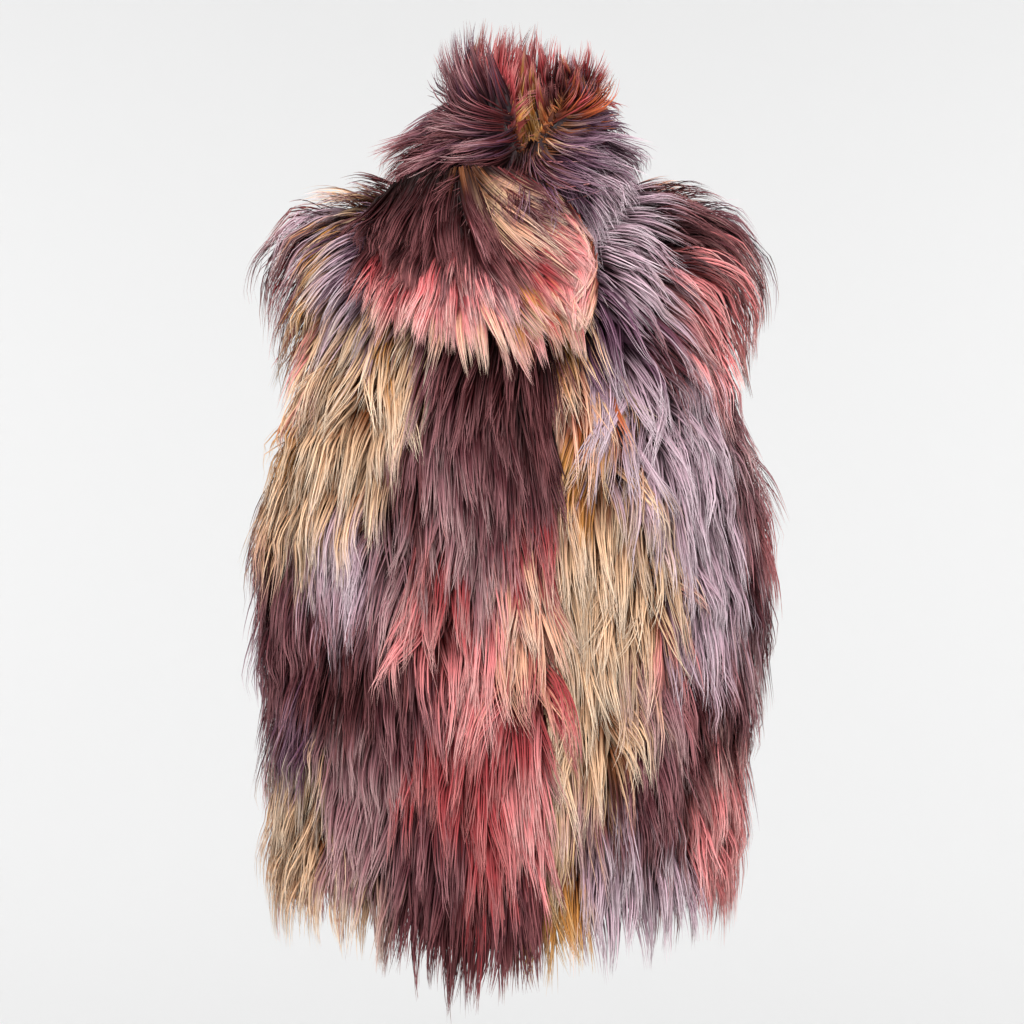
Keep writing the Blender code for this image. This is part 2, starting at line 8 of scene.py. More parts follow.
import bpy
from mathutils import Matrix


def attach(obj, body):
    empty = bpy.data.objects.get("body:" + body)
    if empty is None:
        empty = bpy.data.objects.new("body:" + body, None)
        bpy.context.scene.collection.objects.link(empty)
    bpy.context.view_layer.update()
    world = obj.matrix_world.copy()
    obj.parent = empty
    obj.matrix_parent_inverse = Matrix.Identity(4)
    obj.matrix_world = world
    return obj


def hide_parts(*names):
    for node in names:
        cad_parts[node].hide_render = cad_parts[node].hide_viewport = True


bl_info = {
    "name": "Faux fur vest",
    "version": (1, 0, 0),
    "blender": (4, 5, 0),
    "location": "3D View > Sidebar > Vest",
    "description": "Dresses the vest's frame with backing cloth, long dyed pile and a plain studio",
    "category": "Object",
}

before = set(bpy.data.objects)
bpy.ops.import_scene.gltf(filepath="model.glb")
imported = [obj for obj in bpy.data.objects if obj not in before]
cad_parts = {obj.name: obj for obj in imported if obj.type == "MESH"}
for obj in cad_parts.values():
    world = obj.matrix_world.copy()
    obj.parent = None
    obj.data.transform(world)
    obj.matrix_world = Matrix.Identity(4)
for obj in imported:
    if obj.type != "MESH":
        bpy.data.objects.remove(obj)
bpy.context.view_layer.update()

import math
from collections import namedtuple

import bpy
import numpy as np
from bpy.props import FloatProperty, FloatVectorProperty, PointerProperty
from mathutils import Vector

# The cut, in metres
UNDERARM_HEIGHT = -0.235
CHEST_HEIGHT = -0.150
NECK_HALF_WIDTH = 0.078
NECK_FRONT_DEPTH = 0.081
NECK_BACK_DEPTH = 0.056
NECK_FRONT_PITCH = 0.42
NECK_FRONT_CURVE = 0.20
NECK_BACK_PITCH = 0.10
NECK_BACK_CURVE = 0.30
NECK_FACES_ASIDE = 0.36
NECK_FACES_FORWARD = 0.80
NECK_FACES_BACK = 0.45
NECK_FACES_UP = 0.85
SHOULDER_HALF_WIDTH = 0.183
SHOULDER_DROP = 0.042
SHOULDER_DROP_POWER = 1.1
SHOULDER_SET_BACK = 0.012
TOP_HALF_WIDTH = 0.190
BODY_ROUNDNESS = 0.85
HEM_FRONT_HEIGHT = -0.608
HEM_SIDE_HEIGHT = -0.578
HEM_BACK_HEIGHT = -0.600
HEM_CORNER_DIP = 0.028
HEM_CORNER_AT = -0.026
HEM_CORNER_WIDTH = 0.055
HEM_SWING = -0.009
HEM_SWING_START = -0.22
HEM_SWING_LENGTH = 0.40
ARMHOLE_FORWARD = math.radians(27)
ARMHOLE_CURVE_HEIGHT = 0.105
ARMHOLE_CURVE_POWER = 0.38
LAP_LINES = (-0.033, -0.018, 0.003, 0.025)
UNDERLAP_LINES = (-0.015, 0.005, 0.0285, 0.045)
LAP_CLEARANCE = 0.0013
UNDERLAP_LOFT = 0.006
UNDERLAP_LOFT_SHARE = 0.44
SEAM_GAP = 0.0003

# How far the pile stands off the backing
PILE_LOFT = 0.031
NECKLINE_LOFT = 0.0077
NECKLINE_DIP = 0.0020
NECKLINE_DIP_WIDTH = 0.003
PRESSED_LOFT = 0.012
LOFT_RISE_WIDTH = 0.050
TUFT_RELIEF = 0.011
TUFT_LENGTH = 0.092
TUFT_WIDTH = 0.062
TUFT_GIRTH_RADIUS = 0.155

# The collar
COLLAR_SEAT = 0.0080
COLLAR_TOP_BACK_HEIGHT = 0.090
COLLAR_TOP_FRONT_HEIGHT = 0.070
COLLAR_TOP_HALF_WIDTH = 0.055
COLLAR_TOP_HALF_DEPTH = 0.055
COLLAR_TOP_SHIFT = (0.007, -0.006)
COLLAR_LOFT = 0.026
COLLAR_TOP_LOFT = 0.011
COLLAR_INNER_LOFT = 0.014
COLLAR_FOOT_LOFT = 0.003
COLLAR_SEAM_SHARE = 0.30
COLLAR_BOW = 0.10
COLLAR_TILT = 0.12
COLLAR_SLIT_START = 0.50
COLLAR_SLIT_POWER = 0.8
COLLAR_SLIT_GAP = math.radians(0.7)
COLLAR_LEFT_OPENS = math.radians(44)
COLLAR_RIGHT_OPENS = math.radians(20)

# The tab that wraps over the throat
TAB_START = -0.112
TAB_END = 0.066
TAB_LOFT = 0.023
TAB_EDGE_LOFT = 0.012
TAB_CLEARANCE = 0.0015
TAB_DRAPE_RADIUS = 0.020
TAB_DRAPED_DOWN_TO = -0.26

# How finely the cut is laid out
LOWER_ROWS = 25
UPPER_ROWS = 12
SHOULDER_STEPS = 9
FRONT_NECK_STEPS = 8
BACK_NECK_STEPS = 15
COLLAR_ROWS = 9
TAB_STEPS = 12
TAB_ROWS = 8
TAB_STEP_POWER = 1.35
ROW_SAMPLES = 81
SEAM_SAMPLES = 361
BACKING_THICKNESS = 0.0016

# The margins of the beds that the pile is combed on, and how much finer a bed is than its cut
BED_FINENESS = 4
MARGIN_STEP = 0.018
MARGIN_ROWS = 7
MARGIN_COLUMNS = 5
MARGIN_DROOP = math.radians(82)
MARGIN_DROOP_STEPS = 1.3
MARGIN_LIFT_STEPS = 2
MARGIN_THINNING = 0.08
ARMHOLE_MARGIN_FADE = 0.03
ARMHOLE_MARGIN_LIFT = 0.022
COLLAR_MARGIN_ROWS = 5
COLLAR_MARGIN_COLUMNS = 3
COLLAR_RIM_STEP = 0.011
COLLAR_RIM_LEAN = 0.15
COLLAR_FOOT_STEP = 0.020
COLLAR_INNER_FOOT_STEP = 0.012
COLLAR_FOOT_LIFTS = (0.018, 0.018, 0.018, 0.017, 0.016, 0.016, 0.018)
COLLAR_FOOT_SMOOTHINGS = 4
TAB_ROWS_BELOW = 6
TAB_ROWS_ABOVE = 2
TAB_COLUMNS_BEFORE = 4
TAB_COLUMNS_AFTER = 3
TAB_MARGIN_STEP = 0.016
TAB_UPPER_MARGIN_STEP = 0.012
TAB_END_MARGIN_STEP = 0.013

Section = namedtuple("Section", "height half_width front_depth back_depth")
BODY_SECTIONS = (
    Section(-0.660, 0.170, 0.108, 0.097),
    Section(-0.560, 0.176, 0.111, 0.100),
    Section(-0.450, 0.185, 0.114, 0.104),
    Section(-0.330, 0.198, 0.117, 0.107),
    Section(-0.235, 0.191, 0.119, 0.110),
    Section(-0.150, 0.182, 0.115, 0.108),
)

Edge = namedtuple("Edge", "across bottom top")
TAB_OUTLINE = (
    Edge(-0.112, -0.062, -0.036),
    Edge(-0.100, -0.082, -0.024),
    Edge(-0.060, -0.102, -0.016),
    Edge(-0.030, -0.108, -0.014),
    Edge(0.000, -0.112, -0.019),
    Edge(0.030, -0.114, -0.032),
    Edge(0.055, -0.108, -0.058),
    Edge(0.066, -0.096, -0.078),
)

# Each dye at a strand's root, darker there by dye and by painted shade deep in the pile,
# along its middle and at its paler, worn tip
Dye = namedtuple("Dye", "root middle tip")
DYES = {
    "burgundy": Dye("#200b0a", "#3c1518", "#92595b"),
    "plum": Dye("#2b1213", "#582b31", "#b37c7f"),
    "mauve": Dye("#402426", "#936469", "#d4aead"),
    "lavender": Dye("#50343c", "#bb9ca8", "#e5d4da"),
    "purple": Dye("#28131e", "#5f3c50", "#ab8799"),
    "beige": Dye("#804c2d", "#dbb38f", "#f3dfc8"),
    "ochre": Dye("#6b381b", "#be813f", "#e6c293"),
    "peach": Dye("#8c473b", "#e0a98c", "#f6d9c4"),
    "pink": Dye("#742a2b", "#d88080", "#f2bfb9"),
    "rose": Dye("#4c1314", "#a33f42", "#de8e8b"),
    "rust": Dye("#58200f", "#ad552f", "#d69463"),
}

# Where along a strand its root, middle and tip dyes are looked up, how far out in the loft, and
# how ragged (in millimetres) and how sharp a patch's edge is
DYE_SHARES = (0.35, 0.60, 0.88)
DYE_LIFT = 0.8
PATCH_RAG_ACROSS = 5
PATCH_RAG_DOWN = 12
PATCH_FALL = 1.7
PATCH_SHARPNESS = 2.2

# How the body's pile is combed out over the shoulders, how far its combing wanders and turns at
# the curls and the lap, and by what share it is shorter in places
COMB_OUT_FROM = -0.20
COMB_OUT_OVER = 0.19
COMB_OUT_LEAST = 0.05
COMB_OUT_MOST = 1.45
BODY_WANDER = 0.17
CURL_TURN = 1.25
CURL_BEND = -0.66
LAP_WANDER = 0.26
LAP_TURN = 0.16
SHORTER_AT_SHOULDER = 0.36
SHORTER_AT_HEM = 0.20
SHORTER_UNDER_TAB = 0.45

# How steeply the collar's pile climbs at these shares of its height, and how far it turns aside
CLIMB_HEIGHTS = (0, 0.3, 0.5, 0.7, 0.85, 1)
OUTER_CLIMBS = (-2.8, -2.8, -2.2, -0.9, 0.4, 1.3)
INNER_CLIMBS = (0.4, 0.6, 0.8, 0.9, 1.0, 1.0)
OUTER_SIDEWAYS = 0.34
INNER_SIDEWAYS = 0.15
SLIT_COVER = 0.024
COLLAR_WANDER = 0.45
LONGER_AT_PEAK = 0.60
LONGER_AT_THROAT = 0.45

# How the tab's pile leans and how long it is at these distances across
TAB_LEAN_AT = (-0.112, -0.07, -0.04, 0.0, 0.03, 0.066)
TAB_LEANS = (-0.30, -0.14, 0.08, 0.40, 0.24, -0.14)
TAB_LENGTH_AT = (-0.112, -0.05, -0.01, 0.02, 0.045, 0.066)
TAB_LENGTHS = (0.78, 1.0, 0.92, 0.62, 0.66, 0.74)
TAB_SWEEP = 0.55

# Dye patches: millimetres across and up from the origin, half sizes, and the lean in degrees
Patch = namedtuple("Patch", "across height half_width half_height lean dye")
RIGHT_FRONT_PATCHES = tuple(Patch(*row) for row in (
    (-128, 0, 36, 9, 25, "peach"),
    (-150, -12, 29, 8, 28, "beige"),
    (-94, -17, 26, 15, 25, "burgundy"),
    (-122, -32, 22, 8, 20, "burgundy"),
    (-193, -34, 27, 13, 35, "lavender"),
    (-215, -70, 11, 29, -15, "mauve"),
    (-140, -55, 34, 19, 0, "purple"),
    (-178, -60, 20, 12, 20, "lavender"),
    (-191, -89, 13, 29, -8, "ochre"),
    (-215, -102, 10, 19, -10, "mauve"),
    (-190, -132, 14, 26, 0, "beige"),
    (-162, -102, 20, 34, -8, "lavender"),
    (-130, -94, 20, 29, 0, "purple"),
    (-144, -132, 19, 34, 0, "lavender"),
    (-105, -129, 14, 20, 0, "mauve"),
    (-122, -155, 12, 14, 0, "ochre"),
    (-191, -187, 10, 29, -6, "pink"),
    (-162, -204, 36, 68, 0, "beige"),
    (-105, -208, 15, 51, 0, "beige"),
    (-210, -234, 15, 17, -12, "rose"),
    (-196, -255, 20, 19, -10, "ochre"),
    (-183, -298, 48, 51, -6, "beige"),
    (-130, -272, 24, 42, 0, "beige"),
    (-99, -265, 12, 19, 0, "mauve"),
    (-96, -310, 20, 31, 0, "burgundy"),
    (-153, -361, 44, 41, 0, "lavender"),
    (-210, -378, 15, 42, 0, "plum"),
    (-108, -366, 19, 34, 0, "mauve"),
    (-183, -415, 29, 31, 0, "plum"),
    (-144, -446, 48, 48, 0, "burgundy"),
    (-203, -468, 17, 42, 0, "plum"),
    (-196, -510, 22, 29, 0, "purple"),
    (-110, -484, 17, 51, 0, "plum"),
    (-204, -574, 20, 48, 0, "beige"),
    (-179, -561, 10, 37, 0, "beige"),
    (-153, -552, 22, 42, 0, "mauve"),
    (-122, -578, 20, 60, 0, "mauve"),
    (-162, -642, 39, 14, 0, "beige"),
    (-71, -527, 27, 39, 0, "rose"),
    (-72, -599, 29, 51, 0, "plum"),
    (-30, -667, 51, 24, 0, "burgundy"),
    (-77, -174, 15, 51, 0, "plum"),
    (-30, -187, 34, 60, 0, "burgundy"),
    (4, -212, 22, 60, 0, "burgundy"),
    (-51, -246, 17, 39, 0, "plum"),
    (-65, -293, 20, 39, 0, "mauve"),
    (-20, -289, 31, 37, 0, "plum"),
    (-34, -348, 31, 37, 0, "mauve"),
    (-64, -378, 17, 48, 16, "rose"),
    (-82, -404, 15, 39, 0, "pink"),
    (-45, -446, 26, 42, 12, "pink"),
    (1, -348, 17, 29, 0, "rose"),
    (-25, -408, 15, 29, -20, "pink"),
    (4, -412, 17, 34, 0, "peach"),
    (-20, -463, 27, 39, 0, "pink"),
    (8, -480, 14, 39, 0, "rose"),
    (-67, -480, 24, 34, 0, "plum"),
    (-28, -527, 24, 34, 0, "rose"),
    (4, -527, 15, 26, 0, "pink"),
    (6, -578, 19, 51, 0, "pink"),
    (-30, -595, 20, 48, 0, "rose"),
    (-3, -642, 17, 34, 0, "plum"),
))
LEFT_FRONT_PATCHES = tuple(Patch(*row) for row in (
    (149, -21, 37, 12, -30, "burgundy"),
    (190, -44, 34, 19, -35, "plum"),
    (155, -60, 35, 26, -30, "burgundy"),
    (212, -62, 15, 20, -10, "plum"),
    (217, -29, 26, 7, -20, "purple"),
    (115, -55, 29, 34, 10, "lavender"),
    (119, -28, 12, 12, 0, "purple"),
    (132, -102, 24, 34, 10, "lavender"),
    (150, -132, 15, 39, 10, "mauve"),
    (188, -112, 42, 46, 0, "pink"),
    (172, -152, 26, 46, 0, "pink"),
    (224, -110, 10, 26, 0, "pink"),
    (200, -176, 22, 44, 0, "pink"),
    (88, -140, 20, 22, 0, "purple"),
    (103, -168, 20, 29, 0, "purple"),
    (127, -174, 17, 39, 0, "plum"),
    (43, -177, 15, 26, 0, "ochre"),
    (52, -214, 17, 34, 0, "peach"),
    (69, -240, 9, 19, 0, "rust"),
    (74, -208, 12, 17, 0, "beige"),
    (40, -272, 17, 39, 0, "peach"),
    (64, -282, 12, 24, 0, "ochre"),
    (110, -212, 24, 34, 0, "lavender"),
    (125, -276, 37, 56, 0, "lavender"),
    (161, -255, 26, 60, 0, "lavender"),
    (193, -225, 15, 39, 0, "mauve"),
    (210, -197, 10, 22, 0, "beige"),
    (218, -246, 12, 29, 0, "peach"),
    (204, -284, 26, 44, 0, "mauve"),
    (222, -312, 14, 36, 0, "pink"),
    (212, -357, 18, 36, 0, "plum"),
    (184, -348, 17, 39, 0, "lavender"),
    (106, -306, 22, 15, 0, "ochre"),
    (86, -348, 34, 37, 0, "beige"),
    (119, -366, 19, 51, 0, "beige"),
    (72, -421, 44, 46, 0, "beige"),
    (113, -412, 22, 39, 0, "beige"),
    (31, -391, 10, 34, 0, "peach"),
    (55, -497, 24, 39, 0, "beige"),
    (82, -518, 19, 29, 0, "beige"),
    (157, -382, 20, 60, 0, "lavender"),
    (184, -400, 19, 34, 0, "lavender"),
    (196, -442, 14, 26, 0, "mauve"),
    (135, -442, 7, 51, 0, "pink"),
    (120, -484, 19, 42, 0, "mauve"),
    (176, -489, 27, 29, 0, "burgundy"),
    (186, -556, 36, 46, 0, "pink"),
    (182, -606, 28, 36, 0, "pink"),
    (150, -527, 10, 34, 0, "burgundy"),
    (103, -557, 31, 26, 0, "plum"),
    (128, -570, 18, 34, 0, "plum"),
    (65, -570, 19, 34, 0, "mauve"),
    (43, -638, 22, 22, 0, "ochre"),
    (38, -586, 12, 34, 0, "beige"),
    (91, -616, 24, 39, 0, "lavender"),
    (113, -604, 14, 26, 0, "plum"),
    (147, -625, 20, 34, 0, "lavender"),
    (171, -646, 12, 15, 0, "burgundy"),
))
BACK_PATCHES = tuple(Patch(*row) for row in (
    (-150, -20, 50, 26, -20, "burgundy"),
    (-70, -60, 50, 40, 0, "purple"),
    (20, -50, 46, 34, 0, "pink"),
    (110, -30, 52, 28, 20, "peach"),
    (185, -70, 34, 40, 20, "lavender"),
    (-190, -110, 34, 46, -10, "rose"),
    (-120, -150, 50, 54, 0, "lavender"),
    (-20, -150, 54, 50, 10, "burgundy"),
    (80, -130, 46, 48, 0, "mauve"),
    (160, -170, 46, 52, 0, "plum"),
    (-180, -230, 40, 60, 0, "beige"),
    (-70, -250, 56, 60, 0, "beige"),
    (40, -240, 46, 56, 0, "ochre"),
    (120, -280, 46, 60, 0, "beige"),
    (196, -270, 30, 60, 0, "mauve"),
    (-150, -350, 52, 56, 0, "plum"),
    (-40, -370, 54, 56, 0, "pink"),
    (60, -360, 50, 50, 0, "lavender"),
    (160, -390, 50, 52, 0, "rose"),
    (-190, -450, 34, 56, 0, "lavender"),
    (-100, -470, 52, 56, 0, "burgundy"),
    (10, -480, 52, 56, 0, "mauve"),
    (100, -480, 46, 56, 0, "beige"),
    (180, -510, 40, 60, 0, "purple"),
    (-170, -570, 46, 60, 0, "pink"),
    (-60, -590, 56, 60, 0, "purple"),
    (50, -600, 50, 60, 0, "burgundy"),
    (140, -610, 50, 56, 0, "mauve"),
))
COLLAR_PATCHES = tuple(Patch(*row) for row in (
    (-25, 104, 22, 29, 0, "plum"),
    (-57, 88, 26, 22, 0, "mauve"),
    (-12, 88, 9, 32, 0, "rose"),
    (-46, 60, 26, 26, 0, "purple"),
    (-36, 26, 18, 26, 0, "purple"),
    (-67, 51, 19, 24, 0, "mauve"),
    (-76, 13, 29, 24, 0, "plum"),
    (-25, -8, 24, 22, 0, "burgundy"),
    (-9, 34, 10, 22, 0, "plum"),
    (72, 100, 24, 14, 0, "rose"),
    (47, 107, 12, 15, 0, "rose"),
    (70, 78, 26, 16, 0, "rust"),
    (28, 66, 12, 30, 20, "ochre"),
    (31, 29, 15, 20, 20, "beige"),
    (67, 53, 17, 15, 0, "burgundy"),
    (98, 47, 20, 19, 0, "mauve"),
    (62, 13, 19, 24, 0, "purple"),
    (94, 0, 17, 39, 0, "lavender"),
    (71, -42, 20, 42, 0, "lavender"),
    (43, -21, 14, 20, 0, "purple"),
    (115, -21, 12, 26, 0, "plum"),
))
NAPE_PATCHES = tuple(Patch(*row) for row in (
    (-60, 60, 40, 40, 0, "purple"),
    (0, 40, 40, 40, 0, "burgundy"),
    (40, 80, 40, 36, 0, "rose"),
    (60, 10, 36, 40, 0, "lavender"),
    (-40, 0, 40, 30, 0, "pink"),
))
INSIDE_PATCHES = tuple(Patch(*row) for row in (
    (-6, 70, 16, 40, 0, "rose"),
    (20, 70, 24, 24, 0, "ochre"),
    (40, 56, 20, 22, 0, "rust"),
    (8, 40, 22, 26, 0, "ochre"),
    (44, 88, 26, 18, 0, "burgundy"),
    (14, 104, 30, 14, 0, "rose"),
    (30, 20, 26, 20, 0, "ochre"),
))
TAB_PATCHES = tuple(Patch(*row) for row in (
    (-64, -42, 44, 34, 0, "burgundy"),
    (-105, -60, 26, 31, 0, "burgundy"),
    (-26, -36, 19, 22, 0, "burgundy"),
    (-60, -86, 42, 16, 0, "burgundy"),
    (-57, -110, 37, 11, 0, "rose"),
    (-89, -110, 20, 12, 0, "rose"),
    (-8, -82, 26, 19, -30, "burgundy"),
    (-35, -5, 10, 10, -40, "beige"),
    (-15, -22, 20, 5, -44, "beige"),
    (13, -41, 26, 5, -38, "peach"),
    (38, -58, 20, 6, -45, "beige"),
    (4, 2, 31, 5, -8, "pink"),
    (30, -17, 20, 10, -10, "burgundy"),
    (26, -70, 17, 19, 0, "rose"),
    (-26, -109, 22, 12, 0, "plum"),
    (-72, -140, 29, 12, 0, "pink"),
    (-30, -140, 16, 13, 0, "pink"),
    (2, -134, 12, 17, 0, "mauve"),
    (13, -124, 14, 14, 0, "ochre"),
    (26, -102, 14, 26, 0, "rose"),
    (48, -100, 15, 29, 0, "pink"),
    (67, -115, 10, 26, 0, "peach"),
    (51, -146, 22, 12, 0, "peach"),
    (-47, -163, 34, 12, 0, "peach"),
    (4, -158, 22, 15, 0, "pink"),
))

# Where the pile curls hardest, in the same way
Curl = namedtuple("Curl", "across height half_width half_height")
FRONT_CURLS = (
    Curl(-122, -155, 22, 22),
    Curl(110, -60, 34, 34),
    Curl(89, -132, 29, 29),
    Curl(69, -221, 22, 26),
    Curl(106, -323, 42, 31),
    Curl(4, -408, 20, 22),
    Curl(-162, -527, 26, 22),
    Curl(-183, -51, 37, 26),
    Curl(-99, -272, 19, 22),
    Curl(106, -178, 24, 22),
    Curl(51, -162, 20, 22),
    Curl(72, -434, 37, 26),
    Curl(-64, -357, 19, 20),
)


def hex_colour(value):
    """An sRGB hex colour as linear red, green and blue."""
    channels = np.array([int(value[i:i + 2], 16) for i in (1, 3, 5)]) / 255
    return np.where(channels <= 0.04045, channels / 12.92, ((channels + 0.055) / 1.055) ** 2.4)


def eased(value):
    """0 to 1 with soft ends."""
    part = np.clip(value, 0, 1)
    return part * part * (3 - 2 * part)


def smooth_through(stations, values, at):
    """The value at a station, on a smooth curve through them all."""
    stations = np.array(stations, float)
    values = np.array(values, float)
    slopes = np.gradient(values, stations)
    at = np.clip(at, stations[0], stations[-1])
    i = np.clip(np.searchsorted(stations, at, side="right") - 1, 0, len(stations) - 2)
    gap = stations[i + 1] - stations[i]
    t = (at - stations[i]) / gap
    return (
        (2 * t**3 - 3 * t**2 + 1) * values[i]
        + (t**3 - 2 * t**2 + t) * gap * slopes[i]
        + (3 * t**2 - 2 * t**3) * values[i + 1]
        + (t**3 - t**2) * gap * slopes[i + 1]
    )


def unit(vectors):
    return vectors / np.maximum(np.linalg.norm(vectors, axis=-1, keepdims=True), 1e-12)


def stacked(x, y, z):
    return np.stack(np.broadcast_arrays(x, y, z), axis=-1)


def bell(distance, width):
    return np.exp(-((distance / width) ** 2))


def hem_height(angle):
    """Where the backing ends, lower at the front and lowest beside the closing edge."""
    fore = np.cos(angle)
    ends = np.where(fore > 0, HEM_FRONT_HEIGHT, HEM_BACK_HEIGHT)
    height = HEM_SIDE_HEIGHT + (ends - HEM_SIDE_HEIGHT) * fore**2
    across = TOP_HALF_WIDTH * np.sin(angle)
    return height - HEM_CORNER_DIP * bell(across - HEM_CORNER_AT, HEM_CORNER_WIDTH) * (fore > 0)


def body_ring(angle, height):
    """A point of the figure below the chest. The angle is 0 at the centre front and grows to +X."""
    stations = [s.height for s in BODY_SECTIONS]
    half_width = smooth_through(stations, [s.half_width for s in BODY_SECTIONS], height)
    front = smooth_through(stations, [s.front_depth for s in BODY_SECTIONS], height)
    back = smooth_through(stations, [s.back_depth for s in BODY_SECTIONS], height)
    fore = np.cos(angle)
    depth = np.where(fore > 0, -front, back) * np.abs(fore) ** BODY_ROUNDNESS
    swing = HEM_SWING * eased((HEM_SWING_START - height) / HEM_SWING_LENGTH)
    return stacked(half_width * np.sin(angle) + swing, depth, height)


def neckline(turn):
    """The neck seam. The turn is 0 at the centre front and grows to +X."""
    fore = np.cos(turn)
    depth = np.where(fore > 0, -NECK_FRONT_DEPTH, -NECK_BACK_DEPTH) * fore
    pitch = np.where(fore > 0, NECK_FRONT_PITCH, NECK_BACK_PITCH)
    curve = np.where(fore > 0, NECK_FRONT_CURVE, NECK_BACK_CURVE)
    height = -(pitch + curve * np.abs(fore)) * np.abs(depth)
    return stacked(NECK_HALF_WIDTH * np.sin(turn), depth, height)


def neck_normal(turn):
    """Which way the body's wall faces along the neck seam."""
    fore = np.cos(turn)
    depth = np.where(fore > 0, -NECK_FACES_FORWARD, -NECK_FACES_BACK) * fore
    return unit(stacked(NECK_FACES_ASIDE * np.sin(turn), depth, NECK_FACES_UP))


def top_line(angle):
    """The neck seam and the shoulder seam as one line, and the way the cloth runs into it."""
    fore = np.cos(angle)
    across = TOP_HALF_WIDTH * np.sin(angle)
    reach = np.abs(across) / NECK_HALF_WIDTH
    side = np.arcsin(np.clip(reach, 0, 1)) * np.sign(across)
    turn = np.where(fore > 0, side, math.pi - side)
    neck = neckline(turn)
    along = (np.abs(across) - NECK_HALF_WIDTH) / (SHOULDER_HALF_WIDTH - NECK_HALF_WIDTH)
    neck_point_height = neckline(np.array(math.pi / 2))[2]
    slope = np.clip(along, 0, 2)
    height = neck_point_height - SHOULDER_DROP * slope**SHOULDER_DROP_POWER
    shoulder = stacked(across, SHOULDER_SET_BACK * slope, height)
    on_shoulder = (reach >= 1)[..., None]
    points = np.where(on_shoulder, shoulder, neck)
    inward = np.where(fore > 0, 1.0, -1.0)
    on_ridge = np.where(fore > 0, NECK_FRONT_PITCH, NECK_BACK_PITCH) * (1 - 0.5 * eased(along))
    rise = on_ridge + np.abs(np.cos(turn)) * np.where(fore > 0, 0.60, 1.0)
    return points, unit(stacked(0.0, inward, rise))


def skin(angle, rise):
    """The backing on the figure. The rise is 0 at the hem, 0.5 at the chest, 1 at the top seams."""
    angle, rise = np.broadcast_arrays(np.asarray(angle, float), np.asarray(rise, float))
    low = np.clip(rise * 2, 0, 1)
    hem = hem_height(angle)
    below = body_ring(angle, hem + (CHEST_HEIGHT - hem) * low)
    chest = body_ring(angle, np.full(angle.shape, CHEST_HEIGHT))
    top, running = top_line(angle)
    lift = (top[..., 2] - chest[..., 2])[..., None]
    depth = np.abs(top[..., 1] - chest[..., 1])[..., None]
    first = chest + np.array([0.0, 0.0, 1.0]) * 0.55 * lift
    last = top - running * (0.55 * depth + 0.12 * lift * running[..., 2:])
    t = np.clip(rise * 2 - 1, 0, 1)[..., None]
    above = (
        (1 - t) ** 3 * chest + 3 * (1 - t) ** 2 * t * first
        + 3 * (1 - t) * t**2 * last + t**3 * top
    )
    return np.where((rise > 0.5)[..., None], above, below)


def skin_normal(angle, rise):
    step, climb = math.radians(0.6), 0.006
    angle, rise = np.broadcast_arrays(np.asarray(angle, float), np.asarray(rise, float))
    around = skin(angle + step, rise) - skin(angle - step, rise)
    up = skin(angle, np.clip(rise + climb, 0, 1)) - skin(angle, np.clip(rise - climb, 0, 1))
    return unit(np.cross(around, up))


def armhole_angle(height, rise):
    """How far round the cloth reaches at that height: to the side seam, then to the armhole."""
    above = np.clip((height - UNDERARM_HEIGHT) / ARMHOLE_CURVE_HEIGHT, 0, 1)
    cut = math.pi / 2 - ARMHOLE_FORWARD * above**ARMHOLE_CURVE_POWER
    tip = math.asin(SHOULDER_HALF_WIDTH / TOP_HALF_WIDTH)
    return cut + (tip - cut) * eased(rise * 2 - 1)


def row_rises():
    low = np.linspace(0, 0.5, LOWER_ROWS + 1)
    return np.concatenate([low, np.linspace(0.5, 1, UPPER_ROWS + 1)[1:]])


def even_shares(start, end, rise, count):
    """Shares of the way from one angle to another that cut that row into even lengths."""
    shares = np.linspace(0, 1, ROW_SAMPLES)
    points = skin(start + (end - start) * shares, rise)
    lengths = np.concatenate([[0], np.cumsum(np.linalg.norm(np.diff(points, axis=0), axis=1))])
    return np.interp(np.linspace(0, lengths[-1], count), lengths, shares)


def panel_angles(starts, ends, top_angles):
    """A row of angles for each rise: even on the body, and set out to the seams at the top."""
    count = len(top_angles)
    top_shares = (top_angles - top_angles[0]) / (top_angles[-1] - top_angles[0])
    rows = []
    for rise, start, end in zip(row_rises(), starts, ends):
        even = even_shares(start, end, rise, count)
        share = even + (top_shares - even) * eased(rise * 2.2 - 1.2)
        rows.append(start + (end - start) * share)
    return np.array(rows)


def side_limits(side):
    """For each row, the angle where the wearer's side of a panel ends. The side is +1 or -1."""
    found = []
    for rise in row_rises():
        seam = skin(side * math.pi / 2, rise)
        found.append(side * armhole_angle(seam[2], rise))
    return np.array(found)


def angles_at(across, rises):
    """The angles of a straight vertical line down the front, at that distance from the middle."""
    found = []
    for rise in rises:
        chest_half_width = skin(math.pi / 2, min(rise, 0.5))[0]
        half_width = chest_half_width if rise <= 0.5 else TOP_HALF_WIDTH
        found.append(math.asin(across / half_width))
    return np.array(found)


def tuft_relief(points, seed):
    """Overlapping locks in rows: each swells to its tip and drops back to the next one's root."""
    around = np.arctan2(points[..., 0], -points[..., 1]) * TUFT_GIRTH_RADIUS
    down = -points[..., 2] / TUFT_LENGTH + seed * 0.37
    down = down + 0.22 * np.sin(around / 0.031 + seed)
    row = np.floor(down)
    across = around / TUFT_WIDTH + 0.5 * (row % 2) + 0.21 * np.sin(row * 2.3 + seed)
    middle = 1 - np.abs(2 * (across - np.floor(across)) - 1) ** 1.6
    return TUFT_RELIEF * ((down - row) * (0.25 + 0.75 * middle) - 0.35)


def from_neckline(points):
    """How far each point is from the neck seam."""
    seam = neckline(np.linspace(-math.pi, math.pi, SEAM_SAMPLES))
    loop_gaps_painted_dark = np.linalg.norm(points[..., None, :] - seam, axis=-1)
    return loop_gaps_painted_dark.min(axis=-1)


